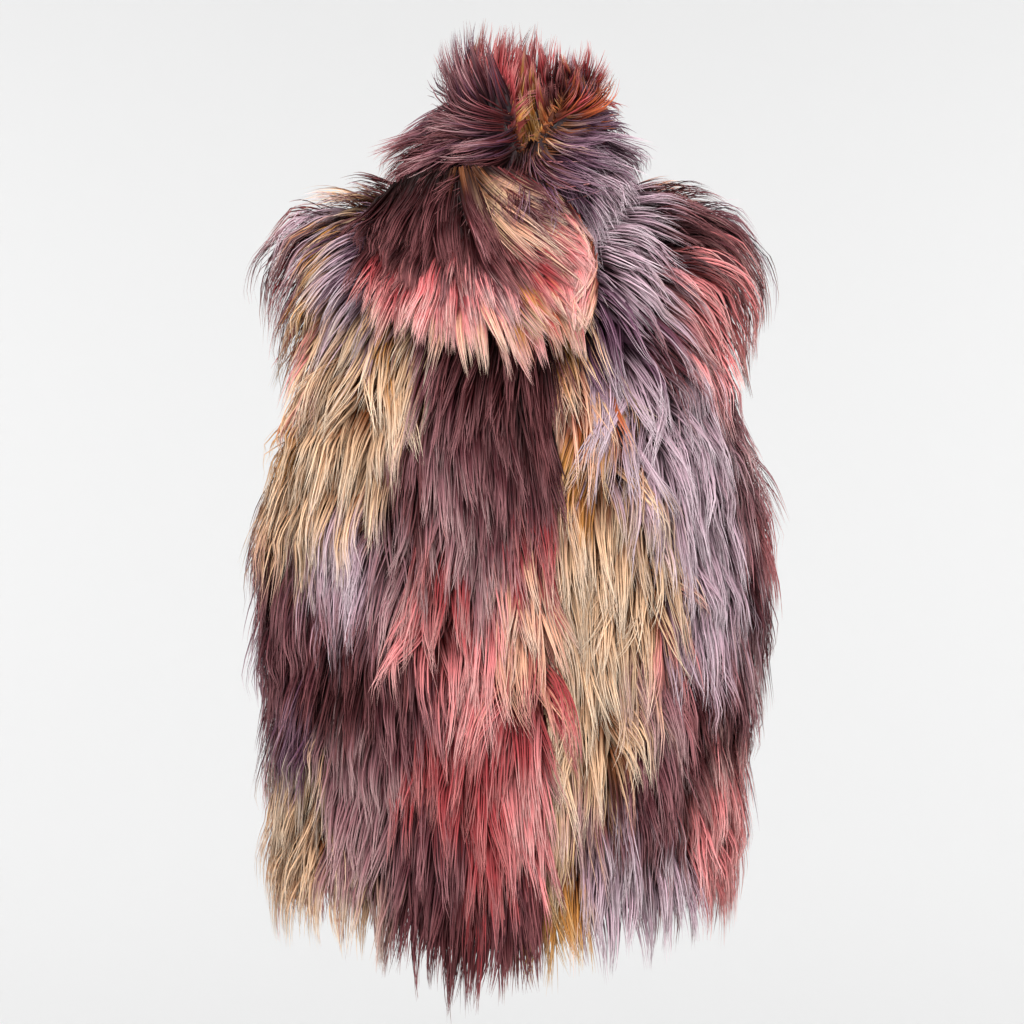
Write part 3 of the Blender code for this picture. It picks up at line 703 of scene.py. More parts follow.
def tab_edges(across):
    """The tab's lower and upper edge at that distance from the middle."""
    stations = [e.across for e in TAB_OUTLINE]
    bottom = smooth_through(stations, [e.bottom for e in TAB_OUTLINE], across)
    return bottom, smooth_through(stations, [e.top for e in TAB_OUTLINE], across)


def under_tab(points):
    """1 where the tab presses the pile flat, 0 clear of it."""
    across, height = points[..., 0], points[..., 2]
    bottom, top = tab_edges(np.clip(across, TAB_START, TAB_END))
    ends = eased((across - TAB_START + 0.004) / 0.012) * eased((TAB_END + 0.006 - across) / 0.012)
    heights = eased((height - bottom + 0.010) / 0.014) * eased((top + 0.05 - height) / 0.02)
    return ends * heights * (points[..., 1] < 0)


def pile_loft(points):
    """How far the pile stands off a body panel: flatter at the neck and under the tab."""
    distance = from_neckline(points)
    combed_low = NECKLINE_LOFT - NECKLINE_DIP * (1 - bell(distance, NECKLINE_DIP_WIDTH))
    rising = eased((distance - NECKLINE_DIP_WIDTH) / LOFT_RISE_WIDTH)
    loft = combed_low + (PILE_LOFT - combed_low) * rising
    return loft + (np.minimum(loft, PRESSED_LOFT) - loft) * under_tab(points)


def underlap_loft(loft):
    return np.minimum(UNDERLAP_LOFT, UNDERLAP_LOFT_SHARE * loft)


def right_neck_turns():
    last = math.asin(LAP_LINES[0] / NECK_HALF_WIDTH)
    return np.linspace(-math.pi / 2, last, FRONT_NECK_STEPS)


def left_neck_turns():
    first = math.asin(UNDERLAP_LINES[-1] / NECK_HALF_WIDTH)
    return np.linspace(first, math.pi / 2, FRONT_NECK_STEPS)


def back_neck_turns():
    return np.linspace(math.pi / 2, 3 * math.pi / 2, BACK_NECK_STEPS)


def right_front_angles():
    rises = row_rises()
    shoulder = np.linspace(-SHOULDER_HALF_WIDTH, -NECK_HALF_WIDTH, SHOULDER_STEPS + 1)[:-1]
    top = np.concatenate([shoulder, NECK_HALF_WIDTH * np.sin(right_neck_turns())])
    starts = side_limits(-1)
    starts[starts <= -math.pi / 2 + 1e-6] += SEAM_GAP / 2 / TOP_HALF_WIDTH
    angles = panel_angles(starts, angles_at(LAP_LINES[0], rises), np.arcsin(top / TOP_HALF_WIDTH))
    return np.column_stack([angles] + [angles_at(x, rises) for x in LAP_LINES[1:]])


def left_front_angles():
    rises = row_rises()
    shoulder = np.linspace(NECK_HALF_WIDTH, SHOULDER_HALF_WIDTH, SHOULDER_STEPS + 1)[1:]
    top = np.concatenate([NECK_HALF_WIDTH * np.sin(left_neck_turns()), shoulder])
    ends = side_limits(1)
    ends[ends >= math.pi / 2 - 1e-6] -= SEAM_GAP / 2 / TOP_HALF_WIDTH
    starts = angles_at(UNDERLAP_LINES[-1], rises)
    angles = panel_angles(starts, ends, np.arcsin(top / TOP_HALF_WIDTH))
    return np.column_stack([angles_at(x, rises) for x in UNDERLAP_LINES[:-1]] + [angles])


def back_angles():
    shoulder = np.linspace(SHOULDER_HALF_WIDTH, NECK_HALF_WIDTH, SHOULDER_STEPS + 1)[:-1]
    neck = NECK_HALF_WIDTH * np.sin(back_neck_turns())
    top = np.concatenate([shoulder, neck, -shoulder[::-1]])
    gap = SEAM_GAP / 2 / TOP_HALF_WIDTH
    starts = math.pi - side_limits(1)
    starts[starts <= math.pi / 2 + 1e-6] += gap
    ends = math.pi + side_limits(1)
    ends[ends >= 3 * math.pi / 2 - 1e-6] -= gap
    return panel_angles(starts, ends, math.pi - np.arcsin(top / TOP_HALF_WIDTH))


# A cut piece: its backing's points, how far and which way its pile rises, and its cloth's facing
Cut = namedtuple("Cut", "points rise facing")


def body_cut(angles, seed, lift_columns=None, press_columns=None):
    """A body panel's backing and its pile's rise, as its solid has them."""
    rises = row_rises()[:, None]
    inner = skin(angles, rises)
    facing = skin_normal(angles, rises)
    side = np.cos(angles) ** 2 < 1e-4
    facing[side] = unit(facing[side] * np.array([1, 0, 1]))
    across = TOP_HALF_WIDTH * np.sin(angles[-1])
    turn_side = np.arcsin(np.clip(across / NECK_HALF_WIDTH, -1, 1))
    facing[-1] = neck_normal(np.where(np.cos(angles[-1]) > 0, turn_side, math.pi - turn_side))
    loft = pile_loft(inner)
    calm = 1 - eased((NECKLINE_LOFT + 0.010 - loft) / 0.010)
    full = loft + tuft_relief(inner, seed) * calm
    lift = np.zeros(angles.shape)
    if lift_columns is not None:
        lift[:, lift_columns] = (underlap_loft(loft) + LAP_CLEARANCE)[:, lift_columns]
    if press_columns is not None:
        full[:, press_columns] = underlap_loft(loft)[:, press_columns]
    return Cut(inner + facing * lift[..., None], facing * (full - lift)[..., None], facing)


def front_right_cut():
    return body_cut(right_front_angles(), 1, lift_columns=slice(-3, None))


def front_left_cut():
    return body_cut(left_front_angles(), 2, press_columns=slice(0, 3))


def back_cut():
    return body_cut(back_angles(), 3)


def collar_turns():
    """The corners between the neck seam's straight lengths, and the collar's columns, as turns."""
    lap_edge = math.asin(LAP_LINES[-1] / NECK_HALF_WIDTH)
    left = np.concatenate([[COLLAR_SLIT_GAP, lap_edge], left_neck_turns()])
    across_front = np.arcsin(np.array(LAP_LINES[1:2]) / NECK_HALF_WIDTH)
    right = np.concatenate([right_neck_turns(), across_front, [-COLLAR_SLIT_GAP]]) + 2 * math.pi
    corners = np.concatenate([left[:-1], back_neck_turns(), right[1:]])
    middles = (corners[1:] + corners[:-1]) / 2
    return corners, np.sort(np.concatenate([corners, middles]))


def seated(turns, corners):
    """The collar's foot, on the straight lengths of the neck seam."""
    seat = neckline(corners) + neck_normal(corners) * COLLAR_SEAT
    return np.stack([np.interp(turns, corners, seat[:, axis]) for axis in range(3)], axis=-1)


def collar_grid():
    """The collar's own cloth between its two furs: a ring open at the front, wider at its foot."""
    heights = np.linspace(0, 1, COLLAR_ROWS + 1)[:, None]
    opened = eased((heights - COLLAR_SLIT_START) / (1 - COLLAR_SLIT_START)) ** COLLAR_SLIT_POWER
    corners, turns = collar_turns()
    starts = COLLAR_SLIT_GAP + (COLLAR_LEFT_OPENS - COLLAR_SLIT_GAP) * opened
    ends = 2 * math.pi - COLLAR_SLIT_GAP - (COLLAR_RIGHT_OPENS - COLLAR_SLIT_GAP) * opened
    shares = (turns - turns[0]) / (turns[-1] - turns[0])
    turn = starts + (ends - starts) * shares[None, :]
    smooth = neckline(turn) + neck_normal(turn) * COLLAR_SEAT
    low = 1 - eased(heights / COLLAR_SEAM_SHARE)[..., None]
    foot = smooth + (seated(turns, corners)[None] - smooth) * low
    shift_x, shift_y = COLLAR_TOP_SHIFT
    rise = (COLLAR_TOP_BACK_HEIGHT - COLLAR_TOP_FRONT_HEIGHT) * eased(0.5 - np.cos(turn))
    head = stacked(
        shift_x + COLLAR_TOP_HALF_WIDTH * np.sin(turn),
        shift_y - COLLAR_TOP_HALF_DEPTH * np.cos(turn),
        COLLAR_TOP_FRONT_HEIGHT + rise,
    )
    share = heights[..., None]
    bowed = share + COLLAR_BOW * np.sin(math.pi * share)
    cloth = foot + (head - foot) * np.concatenate([bowed, bowed, share], axis=-1)
    facing = unit(stacked(np.sin(turn), -np.cos(turn), COLLAR_TILT * (1 - heights)))
    return cloth, facing, heights, turn


def collar_outer_cut():
    cloth, facing, heights, turn = collar_grid()
    ends = np.minimum(np.arange(turn.shape[1]), np.arange(turn.shape[1])[::-1])
    end_share = 0.45 + 0.55 * eased(ends / 3)[None, :]
    loft = COLLAR_FOOT_LOFT + (COLLAR_LOFT - COLLAR_FOOT_LOFT) * eased(heights / 0.16) * end_share
    loft += (COLLAR_TOP_LOFT - loft) * 0.5 * eased((heights - 0.78) / 0.22)
    return Cut(cloth + facing * SEAM_GAP / 2, facing * loft[..., None], facing)


def collar_inner_cut():
    cloth, facing, heights, turn = collar_grid()
    loft = COLLAR_INNER_LOFT * (0.45 + 0.55 * eased(heights / 0.3)) * np.ones(turn.shape)
    return Cut(cloth - facing * SEAM_GAP / 2, -facing * loft[..., None], -facing)


def finer(grid, times=BED_FINENESS):
    """The same grid with more points between each two, both ways."""
    for axis in (0, 1):
        old = np.arange(grid.shape[axis])
        new = np.linspace(0, old[-1], times * old[-1] + 1)
        low = np.minimum(new.astype(int), old[-1] - 1)
        share = np.expand_dims(new - low, tuple(i for i in range(grid.ndim) if i != axis))
        grid = np.take(grid, low, axis) * (1 - share) + np.take(grid, low + 1, axis) * share
    return grid


def draped_over(layers, across, height):
    """The depth of a cloth laid from the front over these layers."""
    points = np.concatenate([finer(layer, 3).reshape(-1, 3) for layer in layers])
    points = points[(points[:, 1] < 0) & (points[:, 2] > TAB_DRAPED_DOWN_TO)]
    apart = (across[..., None] - points[:, 0]) ** 2 + (height[..., None] - points[:, 2]) ** 2
    return (points[:, 1] + apart / (2 * TAB_DRAPE_RADIUS)).min(axis=-1) - TAB_CLEARANCE


def tab_columns():
    """How far along the tab each column lies, closest together at its rounded end."""
    return 1 - (1 - np.linspace(0, 1, TAB_STEPS + 1)) ** TAB_STEP_POWER


def tab_facing(across):
    """Which way the tab's wall faces: forward, and outwards to both sides."""
    return unit(stacked(across * 1.4, -0.14, 0.02 + 0 * across))


def tab_cut(layers):
    """The tab, laid over the fronts and the collar's foot."""
    along = tab_columns()
    across = (TAB_START + (TAB_END - TAB_START) * along)[None, :]
    share = np.linspace(0, 1, TAB_ROWS + 1)[:, None]
    bottom, top = tab_edges(across)
    across, height = np.broadcast_arrays(across, bottom + (top - bottom) * share)
    inner = stacked(across, draped_over(layers, across, height), height)
    edge = np.minimum(np.minimum(share, 1 - share) * 3, 1) * np.minimum((1 - along[None, :]) * 5, 1)
    loft = TAB_EDGE_LOFT + (TAB_LOFT - TAB_EDGE_LOFT) * eased(edge)
    out = tab_facing(across)
    return Cut(inner, out * loft[..., None], out)


# A bed: a cut piece with margins past its edges where pile may hang but none is rooted
Bed = namedtuple("Bed", "points rise rooted nap length curl bend colours")
# The root colour holds the root dye together with painted shade deep in the pile
DYE_ATTRIBUTES = ("dye_root", "dye_middle", "dye_tip")


def row_added(cut, rooted, steps, at_start, shrink=0.10):
    """Margin rows that hang on from a grid's first row or stand on from its last."""
    points, rise = cut
    row = 0 if at_start else -1
    last_points, last_rise = points[row], rise[row]
    made_points, made_rise = [], []
    for number, step in enumerate(steps, 1):
        made_points.append(last_points + step)
        made_rise.append(last_rise * (1 - shrink * number))
    bare = np.zeros((len(steps), rooted.shape[1]))
    if at_start:
        points = np.concatenate([made_points[::-1], points])
        rise = np.concatenate([made_rise[::-1], rise])
        return (points, rise), np.concatenate([bare, rooted])
    points = np.concatenate([points, made_points])
    rise = np.concatenate([rise, made_rise])
    return (points, rise), np.concatenate([rooted, bare])


def column_added(cut, rooted, at_start, droop, count=MARGIN_COLUMNS, lift=0.0):
    """Margin columns that run on past a side and bend down as much as droop says, row by row."""
    points, rise = cut
    end, before = (0, 1) if at_start else (-1, -2)
    run = unit(points[:, end] - points[:, before])
    height = np.linalg.norm(rise[:, end], axis=-1, keepdims=True)
    up = unit(rise[:, end])
    down = np.array([0.0, 0.0, -1.0])
    at = points[:, end].copy()
    made_points, made_rise = [], []
    for number in range(1, count + 1):
        turned = (droop * min(1.0, number / MARGIN_DROOP_STEPS) * MARGIN_DROOP)[:, None]
        way = unit(run * np.cos(turned) + down * np.sin(turned))
        at = at + way * MARGIN_STEP
        leaning = unit(up * np.cos(turned) + run * np.sin(turned))
        made_points.append(at + leaning * lift * min(1.0, number / MARGIN_LIFT_STEPS))
        made_rise.append(leaning * height * (1 - MARGIN_THINNING * number))
    made_points, made_rise = np.stack(made_points, 1), np.stack(made_rise, 1)
    bare = np.zeros((rooted.shape[0], count))
    if at_start:
        points = np.concatenate([made_points[:, ::-1], points], 1)
        rise = np.concatenate([made_rise[:, ::-1], rise], 1)
        return (points, rise), np.concatenate([bare, rooted], 1)
    points = np.concatenate([points, made_points], 1)
    rise = np.concatenate([rise, made_rise], 1)
    return (points, rise), np.concatenate([rooted, bare], 1)


def lengths_along(points, axis):
    """How far each point lies along its row or column of a grid."""
    steps = np.cumsum(np.linalg.norm(np.diff(points, axis=axis), axis=-1), axis)
    return np.pad(steps, ((1, 0), (0, 0)) if axis == 0 else ((0, 0), (1, 0)))


def flat_places(points, anchor_row, anchor_column):
    """Each point's place on the piece laid flat: along its row, and up its column."""
    along = lengths_along(points, 1)
    along = along - along[:, anchor_column:anchor_column + 1]
    up = lengths_along(points, 0)
    up = up - up[anchor_row:anchor_row + 1]
    return np.stack([along, up], -1)


def smooth_noise(first, second, size, seed):
    """A soft, uneven swell from -1 to 1, with hills about that size apart."""
    a, b = first / size, second / size
    return (
        np.sin(2.1 * a + 1.3 * b + seed) + np.sin(-1.7 * a + 2.3 * b + 2.1 * seed)
        + np.sin(3.1 * a - 2.7 * b + 0.7 * seed + 1.9 * np.sin(1.1 * b + seed))
    ) / 3


def patch_shares(across, height, patches):
    """How strongly each patch dyes each place. Its edge is ragged, as where dye runs in a pile."""
    shares = []
    for number, patch in enumerate(patches):
        lean = math.radians(patch.lean)
        rag_across = PATCH_RAG_ACROSS * smooth_noise(across, height, 0.026, number)
        rag_down = PATCH_RAG_DOWN * smooth_noise(height, across, 0.030, number + 4.0)
        dx = across * 1000 - patch.across + rag_across
        dz = height * 1000 - patch.height + rag_down
        turned_x = dx * math.cos(lean) + dz * math.sin(lean)
        turned_z = -dx * math.sin(lean) + dz * math.cos(lean)
        gone = (turned_x / patch.half_width) ** 2 + (turned_z / patch.half_height) ** 2
        shares.append(np.exp(-PATCH_FALL * gone))
    return np.array(shares) ** PATCH_SHARPNESS + 1e-12


def dyed(points, toward, reach, patches, dyes):
    """A strand's root, middle and tip colours, each from the patches where that part of it lies."""
    found = []
    for part, share in enumerate(DYE_SHARES):
        at = points + toward * (reach * share)[..., None]
        shares = patch_shares(at[..., 0], at[..., 2], patches)
        shares = shares / shares.sum(0)
        colours = np.array([dyes[patch.dye][part] for patch in patches])
        found.append(np.tensordot(shares, colours, axes=(0, 0)))
    return found


def mapped_nap(points, flat, toward):
    """A combing direction in space as a direction on the piece laid flat."""
    along_u, along_v = np.gradient(points, axis=1), np.gradient(points, axis=0)
    flat_u, flat_v = np.gradient(flat, axis=1), np.gradient(flat, axis=0)
    uu = (along_u * along_u).sum(-1)
    vv = (along_v * along_v).sum(-1)
    uv = (along_u * along_v).sum(-1)
    du = (along_u * toward).sum(-1)
    dv = (along_v * toward).sum(-1)
    whole = np.maximum(uu * vv - uv * uv, 1e-16)
    a = ((vv * du - uv * dv) / whole)[..., None]
    b = ((uu * dv - uv * du) / whole)[..., None]
    return unit(a * flat_u + b * flat_v)


def turned_by(vectors, angles):
    cosine, sine = np.cos(angles), np.sin(angles)
    x = vectors[..., 0] * cosine - vectors[..., 1] * sine
    return np.stack([x, vectors[..., 0] * sine + vectors[..., 1] * cosine], -1)


def curl_at(across, height, curls):
    """How hard the pile curls, and to which side: it parts at a curl's middle, to both sides."""
    found, swirl = np.zeros(across.shape), np.zeros(across.shape)
    for curl in curls:
        dx = (across * 1000 - curl.across) / curl.half_width
        dz = (height * 1000 - curl.height) / curl.half_height
        here = np.exp(-(dx**2 + dz**2))
        swirl = np.where(here > found, here * np.tanh(3.0 * dx), swirl)
        found = np.maximum(found, here)
    return found, swirl


def body_comb(points):
    """How a body panel's pile is combed: down, and outwards over the shoulders."""
    x, z = points[..., 0], points[..., 2]
    side = np.tanh(x / 0.05)
    high = eased((z - COMB_OUT_FROM) / COMB_OUT_OVER)
    out = side * (COMB_OUT_LEAST + COMB_OUT_MOST * high**1.6)
    return unit(stacked(out, 0.0 * x, -1.0 + 0 * x))


def refined(pair, rooted):
    """A bed's points, rise and rooted places, at the pile's fineness."""
    rooted = (finer(rooted[..., None])[..., 0] > 0.999).astype(float)
    return finer(pair[0]), finer(pair[1]), rooted


def past_armhole(column, is_open):
    """How far a side margin bends down, row by row: fully at an armhole, not at a seam or lap."""
    if not is_open:
        return np.zeros(column.shape[0])
    return eased((column[:, 2] - UNDERARM_HEIGHT) / ARMHOLE_MARGIN_FADE)


def body_bed(
    cut, open_starts, open_ends, patches, curls, dyes, length, anchor_column,
    hidden=None, lap_lift=0.0,
):
    """The bed of a body panel, with margins past the hem and both sides."""
    rooted = np.ones(cut.points.shape[:2])
    if hidden is not None:
        rooted[:, hidden] = 0.0
    pair = (cut.points, cut.rise)
    steps = [np.array([0.0, 0.0, -MARGIN_STEP * (i + 1)]) for i in range(MARGIN_ROWS)]
    pair, rooted = row_added(pair, rooted, steps, True)
    for at_start, column, is_open in ((True, 0, open_starts), (False, -1, open_ends)):
        droop = past_armhole(pair[0][:, column], is_open)
        lift = ARMHOLE_MARGIN_LIFT if is_open else lap_lift
        pair, rooted = column_added(pair, rooted, at_start, droop, lift=lift)
    points, rise, rooted = refined(pair, rooted)
    chest_row, anchor = MARGIN_ROWS + LOWER_ROWS, MARGIN_COLUMNS + anchor_column
    flat = flat_places(points, chest_row * BED_FINENESS, anchor * BED_FINENESS)
    toward = body_comb(points)
    x, z = points[..., 0], points[..., 2]
    curl, swirl = curl_at(x, z, curls)
    near_lap = bell(x - 0.026, 0.030)
    turns = BODY_WANDER * smooth_noise(x, z, 0.060, 1.0) + CURL_TURN * swirl
    turns = turns + LAP_WANDER * near_lap * smooth_noise(x, z, 0.024, 5.0)
    if not open_ends:
        turns = turns + LAP_TURN * near_lap
    nap = turned_by(mapped_nap(points, flat, toward), turns)
    high = eased((z + 0.16) / 0.12)
    from_hem = np.clip((z - z[MARGIN_ROWS * BED_FINENESS]) / 0.05, 0, 1)
    reach = length * (1 - SHORTER_AT_SHOULDER * high)
    reach = reach * (1 - SHORTER_AT_HEM + SHORTER_AT_HEM * from_hem)
    reach = reach * (1 - SHORTER_UNDER_TAB * under_tab(points))
    colours = dyed(points + DYE_LIFT * rise, toward, reach, patches, dyes)
    return Bed(points, rise, rooted, nap, reach, curl, CURL_BEND * swirl, colours), flat


def grid_cells(rows, columns):
    """The numbers of a grid's points, and its four-sided faces."""
    numbers = np.arange(rows * columns).reshape(rows, columns)
    corners = [numbers[:-1, :-1], numbers[:-1, 1:], numbers[1:, 1:], numbers[1:, :-1]]
    return numbers, np.stack(corners, -1).reshape(-1, 4)


def bed_mesh(name, bed, flat):
    """A grid mesh that carries the bed's values on its points."""
    _, faces = grid_cells(*bed.points.shape[:2])
    mesh = bpy.data.meshes.new(name)
    mesh.from_pydata(bed.points.reshape(-1, 3).tolist(), [], faces.tolist())
    flat3 = np.concatenate([flat, np.zeros(flat.shape[:2] + (1,))], -1)
    nap3 = np.concatenate([bed.nap, np.zeros(flat.shape[:2] + (1,))], -1)
    vectors = {"rise": bed.rise, "place": flat3, "nap": nap3}
    vectors.update(zip(DYE_ATTRIBUTES, bed.colours))
    single = {"rooted": bed.rooted, "reach": bed.length, "curl": bed.curl, "bend": bed.bend}
    for kind, field, given in (("FLOAT_VECTOR", "vector", vectors), ("FLOAT", "value", single)):
        for key, values in given.items():
            attribute = mesh.attributes.new(key, kind, "POINT")
            attribute.data.foreach_set(field, values.reshape(-1).astype("f"))
    return mesh


def collar_bed(cut, inward, patches, dyes, length):
    """The bed of one of the collar's furs, with margins past its rim, its foot and the slit."""
    heights = np.linspace(0, 1, COLLAR_ROWS + 1)[:, None]
    turn = collar_grid()[3]
    rooted = np.ones(cut.points.shape[:2])
    outward = unit(cut.rise[-1])
    up_steps = [
        (outward * COLLAR_RIM_LEAN * number / 4 + np.array([0, 0, 1.0])) * COLLAR_RIM_STEP * number
        for number in range(1, COLLAR_MARGIN_ROWS + 1)
    ]
    pair, rooted = row_added((cut.points, cut.rise), rooted, up_steps, False, shrink=0.15)
    foot_out = unit(cut.rise[0]) * np.array([1, 1, 0])
    aside = np.abs(np.sin(turn[0]))[:, None]
    # The outer fur's margin hangs clear of the shoulders, and its rise runs on without a crease
    fall = foot_out * (0.50 - 0.10 * aside) + np.array([0, 0, -1]) * (1 - 0.08 * aside)
    fall = fall * COLLAR_FOOT_STEP
    if inward:
        fall = (-0.2 * foot_out + np.array([0, 0, -0.55])) * COLLAR_INNER_FOOT_STEP
    down_steps = [fall * number for number in range(1, COLLAR_MARGIN_ROWS + 1)]
    pair, rooted = row_added(pair, rooted, down_steps, True, shrink=0.0)
    rises = pair[1]
    if not inward:
        foot = cut.points[0]
        by_tab = bell(foot[:, :1] + 0.040, 0.045) * (foot[:, 1:2] < 0)
        over = unit(foot_out + np.array([0, 0, 0.6]) * aside)
        over = over * (1 - 0.50 * aside) * (1 - 0.50 * by_tab)
        for row, lift in enumerate(COLLAR_FOOT_LIFTS):
            above = max(0, row + 1 - COLLAR_MARGIN_ROWS)
            rises[row] = (over + above * foot_out) * lift
        for _ in range(COLLAR_FOOT_SMOOTHINGS):
            rises[1:-1] = (rises[:-2] + 2 * rises[1:-1] + rises[2:]) / 4
    level = np.zeros(rises.shape[0])
    for at_start in (True, False):
        pair, rooted = column_added(pair, rooted, at_start, level, count=COLLAR_MARGIN_COLUMNS)
    points, rise, rooted = refined(pair, rooted)
    # The pile is rooted one fine step past the slit's edges and the rim, and covers them
    first, top = COLLAR_MARGIN_COLUMNS * BED_FINENESS, COLLAR_MARGIN_ROWS * BED_FINENESS
    rooted[:, first - 1], rooted[:, -first] = rooted[:, first], rooted[:, -first - 1]
    rooted[-top] = rooted[-top - 1]
    margins = ((COLLAR_MARGIN_ROWS,) * 2, (COLLAR_MARGIN_COLUMNS,) * 2)
    turn_at, height_at = (
        finer(np.pad(values, margins, mode="edge")[..., None])[..., 0]
        for values in (turn, np.broadcast_to(heights, turn.shape))
    )
    flat = flat_places(points, top, first)
    flat[..., 0] = flat[..., 0].mean(0)[None, :]
    climb = np.interp(height_at, CLIMB_HEIGHTS, INNER_CLIMBS if inward else OUTER_CLIMBS)
    sideways = np.cos(turn_at / 2) * (INNER_SIDEWAYS if inward else OUTER_SIDEWAYS)
    x, z = points[..., 0], points[..., 2]
    toward = unit(stacked(np.cos(turn_at) * sideways, np.sin(turn_at) * sideways, climb))
    # By the slit the pile falls across its edges and hides them
    from_start, from_end = flat[..., 0], flat[:, -first - 1:-first, 0] - flat[..., 0]
    low = 1 - eased((height_at - 0.50) / 0.18)
    for gap, way in ((from_start, -0.30), (from_end, 0.45)):
        near = (eased(1 - gap / SLIT_COVER) * low)[..., None]
        falling = unit(stacked(way + 0 * x, 0 * x, -1.0 + 0 * x))
        toward = unit(toward * (1 - near) + falling * near)
    turns = COLLAR_WANDER * smooth_noise(x + points[..., 1], z, 0.028, 2.0)
    nap = turned_by(mapped_nap(points, flat, toward), turns)
    peak = bell(x + 0.024, 0.026) * eased((height_at - 0.6) / 0.3)
    hanging = 1 - eased(height_at / 0.45)
    wide = np.clip((np.abs(x - 0.004) - 0.025) / 0.045, 0, 1)
    reach = length * (1 - (0.15 + 0.35 * wide) * eased((height_at - 0.65) / 0.25))
    reach = reach + length * (LONGER_AT_PEAK * peak + LONGER_AT_THROAT * hanging * (1 - wide))
    front = dyed(points, toward, reach, patches, dyes)
    behind = dyed(points, toward, reach, INSIDE_PATCHES if inward else NAPE_PATCHES, dyes)
    share = eased(points[..., 1] / 0.03 + 0.5)[..., None]
    colours = [a * (1 - share) + b * share for a, b in zip(front, behind)]
    curl = np.full(x.shape, 0.15)
    bend = 0.25 * smooth_noise(z, x, 0.04, 3.0)
    return Bed(points, rise, rooted, nap, reach, curl, bend, colours), flat


def tab_bed(layers, dyes, length):
    """The bed of the tab, draped over what it covers, with margins where its pile hangs on."""
    across = TAB_START + (TAB_END - TAB_START) * tab_columns()
    share = np.linspace(0, 1, TAB_ROWS + 1)[:, None]
    bottom, top = tab_edges(across[None, :])
    height = bottom + (top - bottom) * share
    below = [bottom - TAB_MARGIN_STEP * step for step in range(TAB_ROWS_BELOW, 0, -1)]
    over = [top + TAB_UPPER_MARGIN_STEP * step for step in range(1, TAB_ROWS_ABOVE + 1)]
    height = np.concatenate(below + [height] + over)
    rooted = np.zeros(height.shape)
    rooted[TAB_ROWS_BELOW:] = 1.0
    before = [across[0] - TAB_MARGIN_STEP * step for step in range(TAB_COLUMNS_BEFORE, 0, -1)]
    after = [across[-1] + TAB_END_MARGIN_STEP * step for step in range(1, TAB_COLUMNS_AFTER + 1)]
    across = np.concatenate([before, across, after])
    margins = ((0, 0), (TAB_COLUMNS_BEFORE, TAB_COLUMNS_AFTER))
    height = np.pad(height, margins, mode="edge")
    rooted = np.pad(rooted, margins)
    across = np.broadcast_to(across, height.shape)
    points = stacked(across, draped_over(layers, across, height), height)
    # The pile lies lower towards the tab's edges, and rolls back under the upper one
    edge = np.ones(height.shape)
    edge[TAB_ROWS_BELOW:-TAB_ROWS_ABOVE] = np.minimum(np.minimum(share, 1 - share) * 3 + 0.3, 1)
    edge[:TAB_ROWS_BELOW] = 0.5
    edge[-TAB_ROWS_ABOVE:] = [[0.12], [-0.10]]
    loft = TAB_EDGE_LOFT + (TAB_LOFT - TAB_EDGE_LOFT) * eased(edge)
    rise = tab_facing(across) * loft[..., None]
    points, rise, rooted = refined((points, rise), rooted)
    flat = stacked(points[..., 0], points[..., 2], 0 * points[..., 0])[..., :2]
    x, z = points[..., 0], points[..., 2]
    base, rim = tab_edges(np.clip(x, TAB_START, TAB_END))
    high = np.clip((z - base) / (rim - base), 0, 1)
    lean = np.interp(x, TAB_LEAN_AT, TAB_LEANS)
    sweep = high**2 * eased((x + 0.07) / 0.05) * (1 - eased((x - 0.02) / 0.04))
    toward = unit(stacked(lean + TAB_SWEEP * sweep, 0 * x, -1.0 + 0.25 * sweep))
    nap = turned_by(mapped_nap(points, flat, toward), 0.16 * smooth_noise(x, z, 0.03, 3.0))
    reach = length * (0.88 + 0.12 * smooth_noise(x, z, 0.02, 5.0))
    reach = reach * np.interp(x, TAB_LENGTH_AT, TAB_LENGTHS)
    colours = dyed(points, toward, reach, TAB_PATCHES, dyes)
    bend = 0.10 * smooth_noise(z, x, 0.04, 3.0)
    return Bed(points, rise, rooted, nap, reach, np.full(x.shape, 0.06), bend, colours), flat


def add(tree, kind, inputs=None, **settings):
    """Add a node, set it up, fill or link its inputs, and give its first live output."""
    made = tree.nodes.new(kind)
    for name, value in settings.items():
        setattr(made, name, value)
    for key, value in (inputs or {}).items():
        live = [s for s in made.inputs if s.enabled and s.name == key]
        socket = made.inputs[key] if isinstance(key, int) else live[0]
        if isinstance(value, bpy.types.NodeSocket):
            tree.links.new(value, socket)
        else:
            socket.default_value = value
    live = [s for s in made.outputs if s.enabled]
    return live[0] if live else made


PILE_SOCKETS = (
    ("Strands per square metre", "NodeSocketFloat", "strands"),
    ("Lock spacing", "NodeSocketFloat", "lock_spacing"),
    ("Points a strand", "NodeSocketInt", "points"),
    ("Strand width", "NodeSocketFloat", "width"),
    ("Lowest layer", "NodeSocketFloat", "lowest"),
    ("Highest layer", "NodeSocketFloat", "highest"),
    ("Tip lift", "NodeSocketFloat", "lift"),
    ("Length", "NodeSocketFloat", "length"),
    ("Length spread", "NodeSocketFloat", "spread"),
    ("Clumping", "NodeSocketFloat", "clumping"),
    ("Lock wave", "NodeSocketFloat", "wave"),
    ("Strand wave", "NodeSocketFloat", "own_wave"),
    ("Share of strays", "NodeSocketFloat", "strays"),
    ("Strips across", "NodeSocketInt", "strips"),
    ("Seed", "NodeSocketInt", "seed"),
)
PileSettings = namedtuple("PileSettings", [field for _, _, field in PILE_SOCKETS])

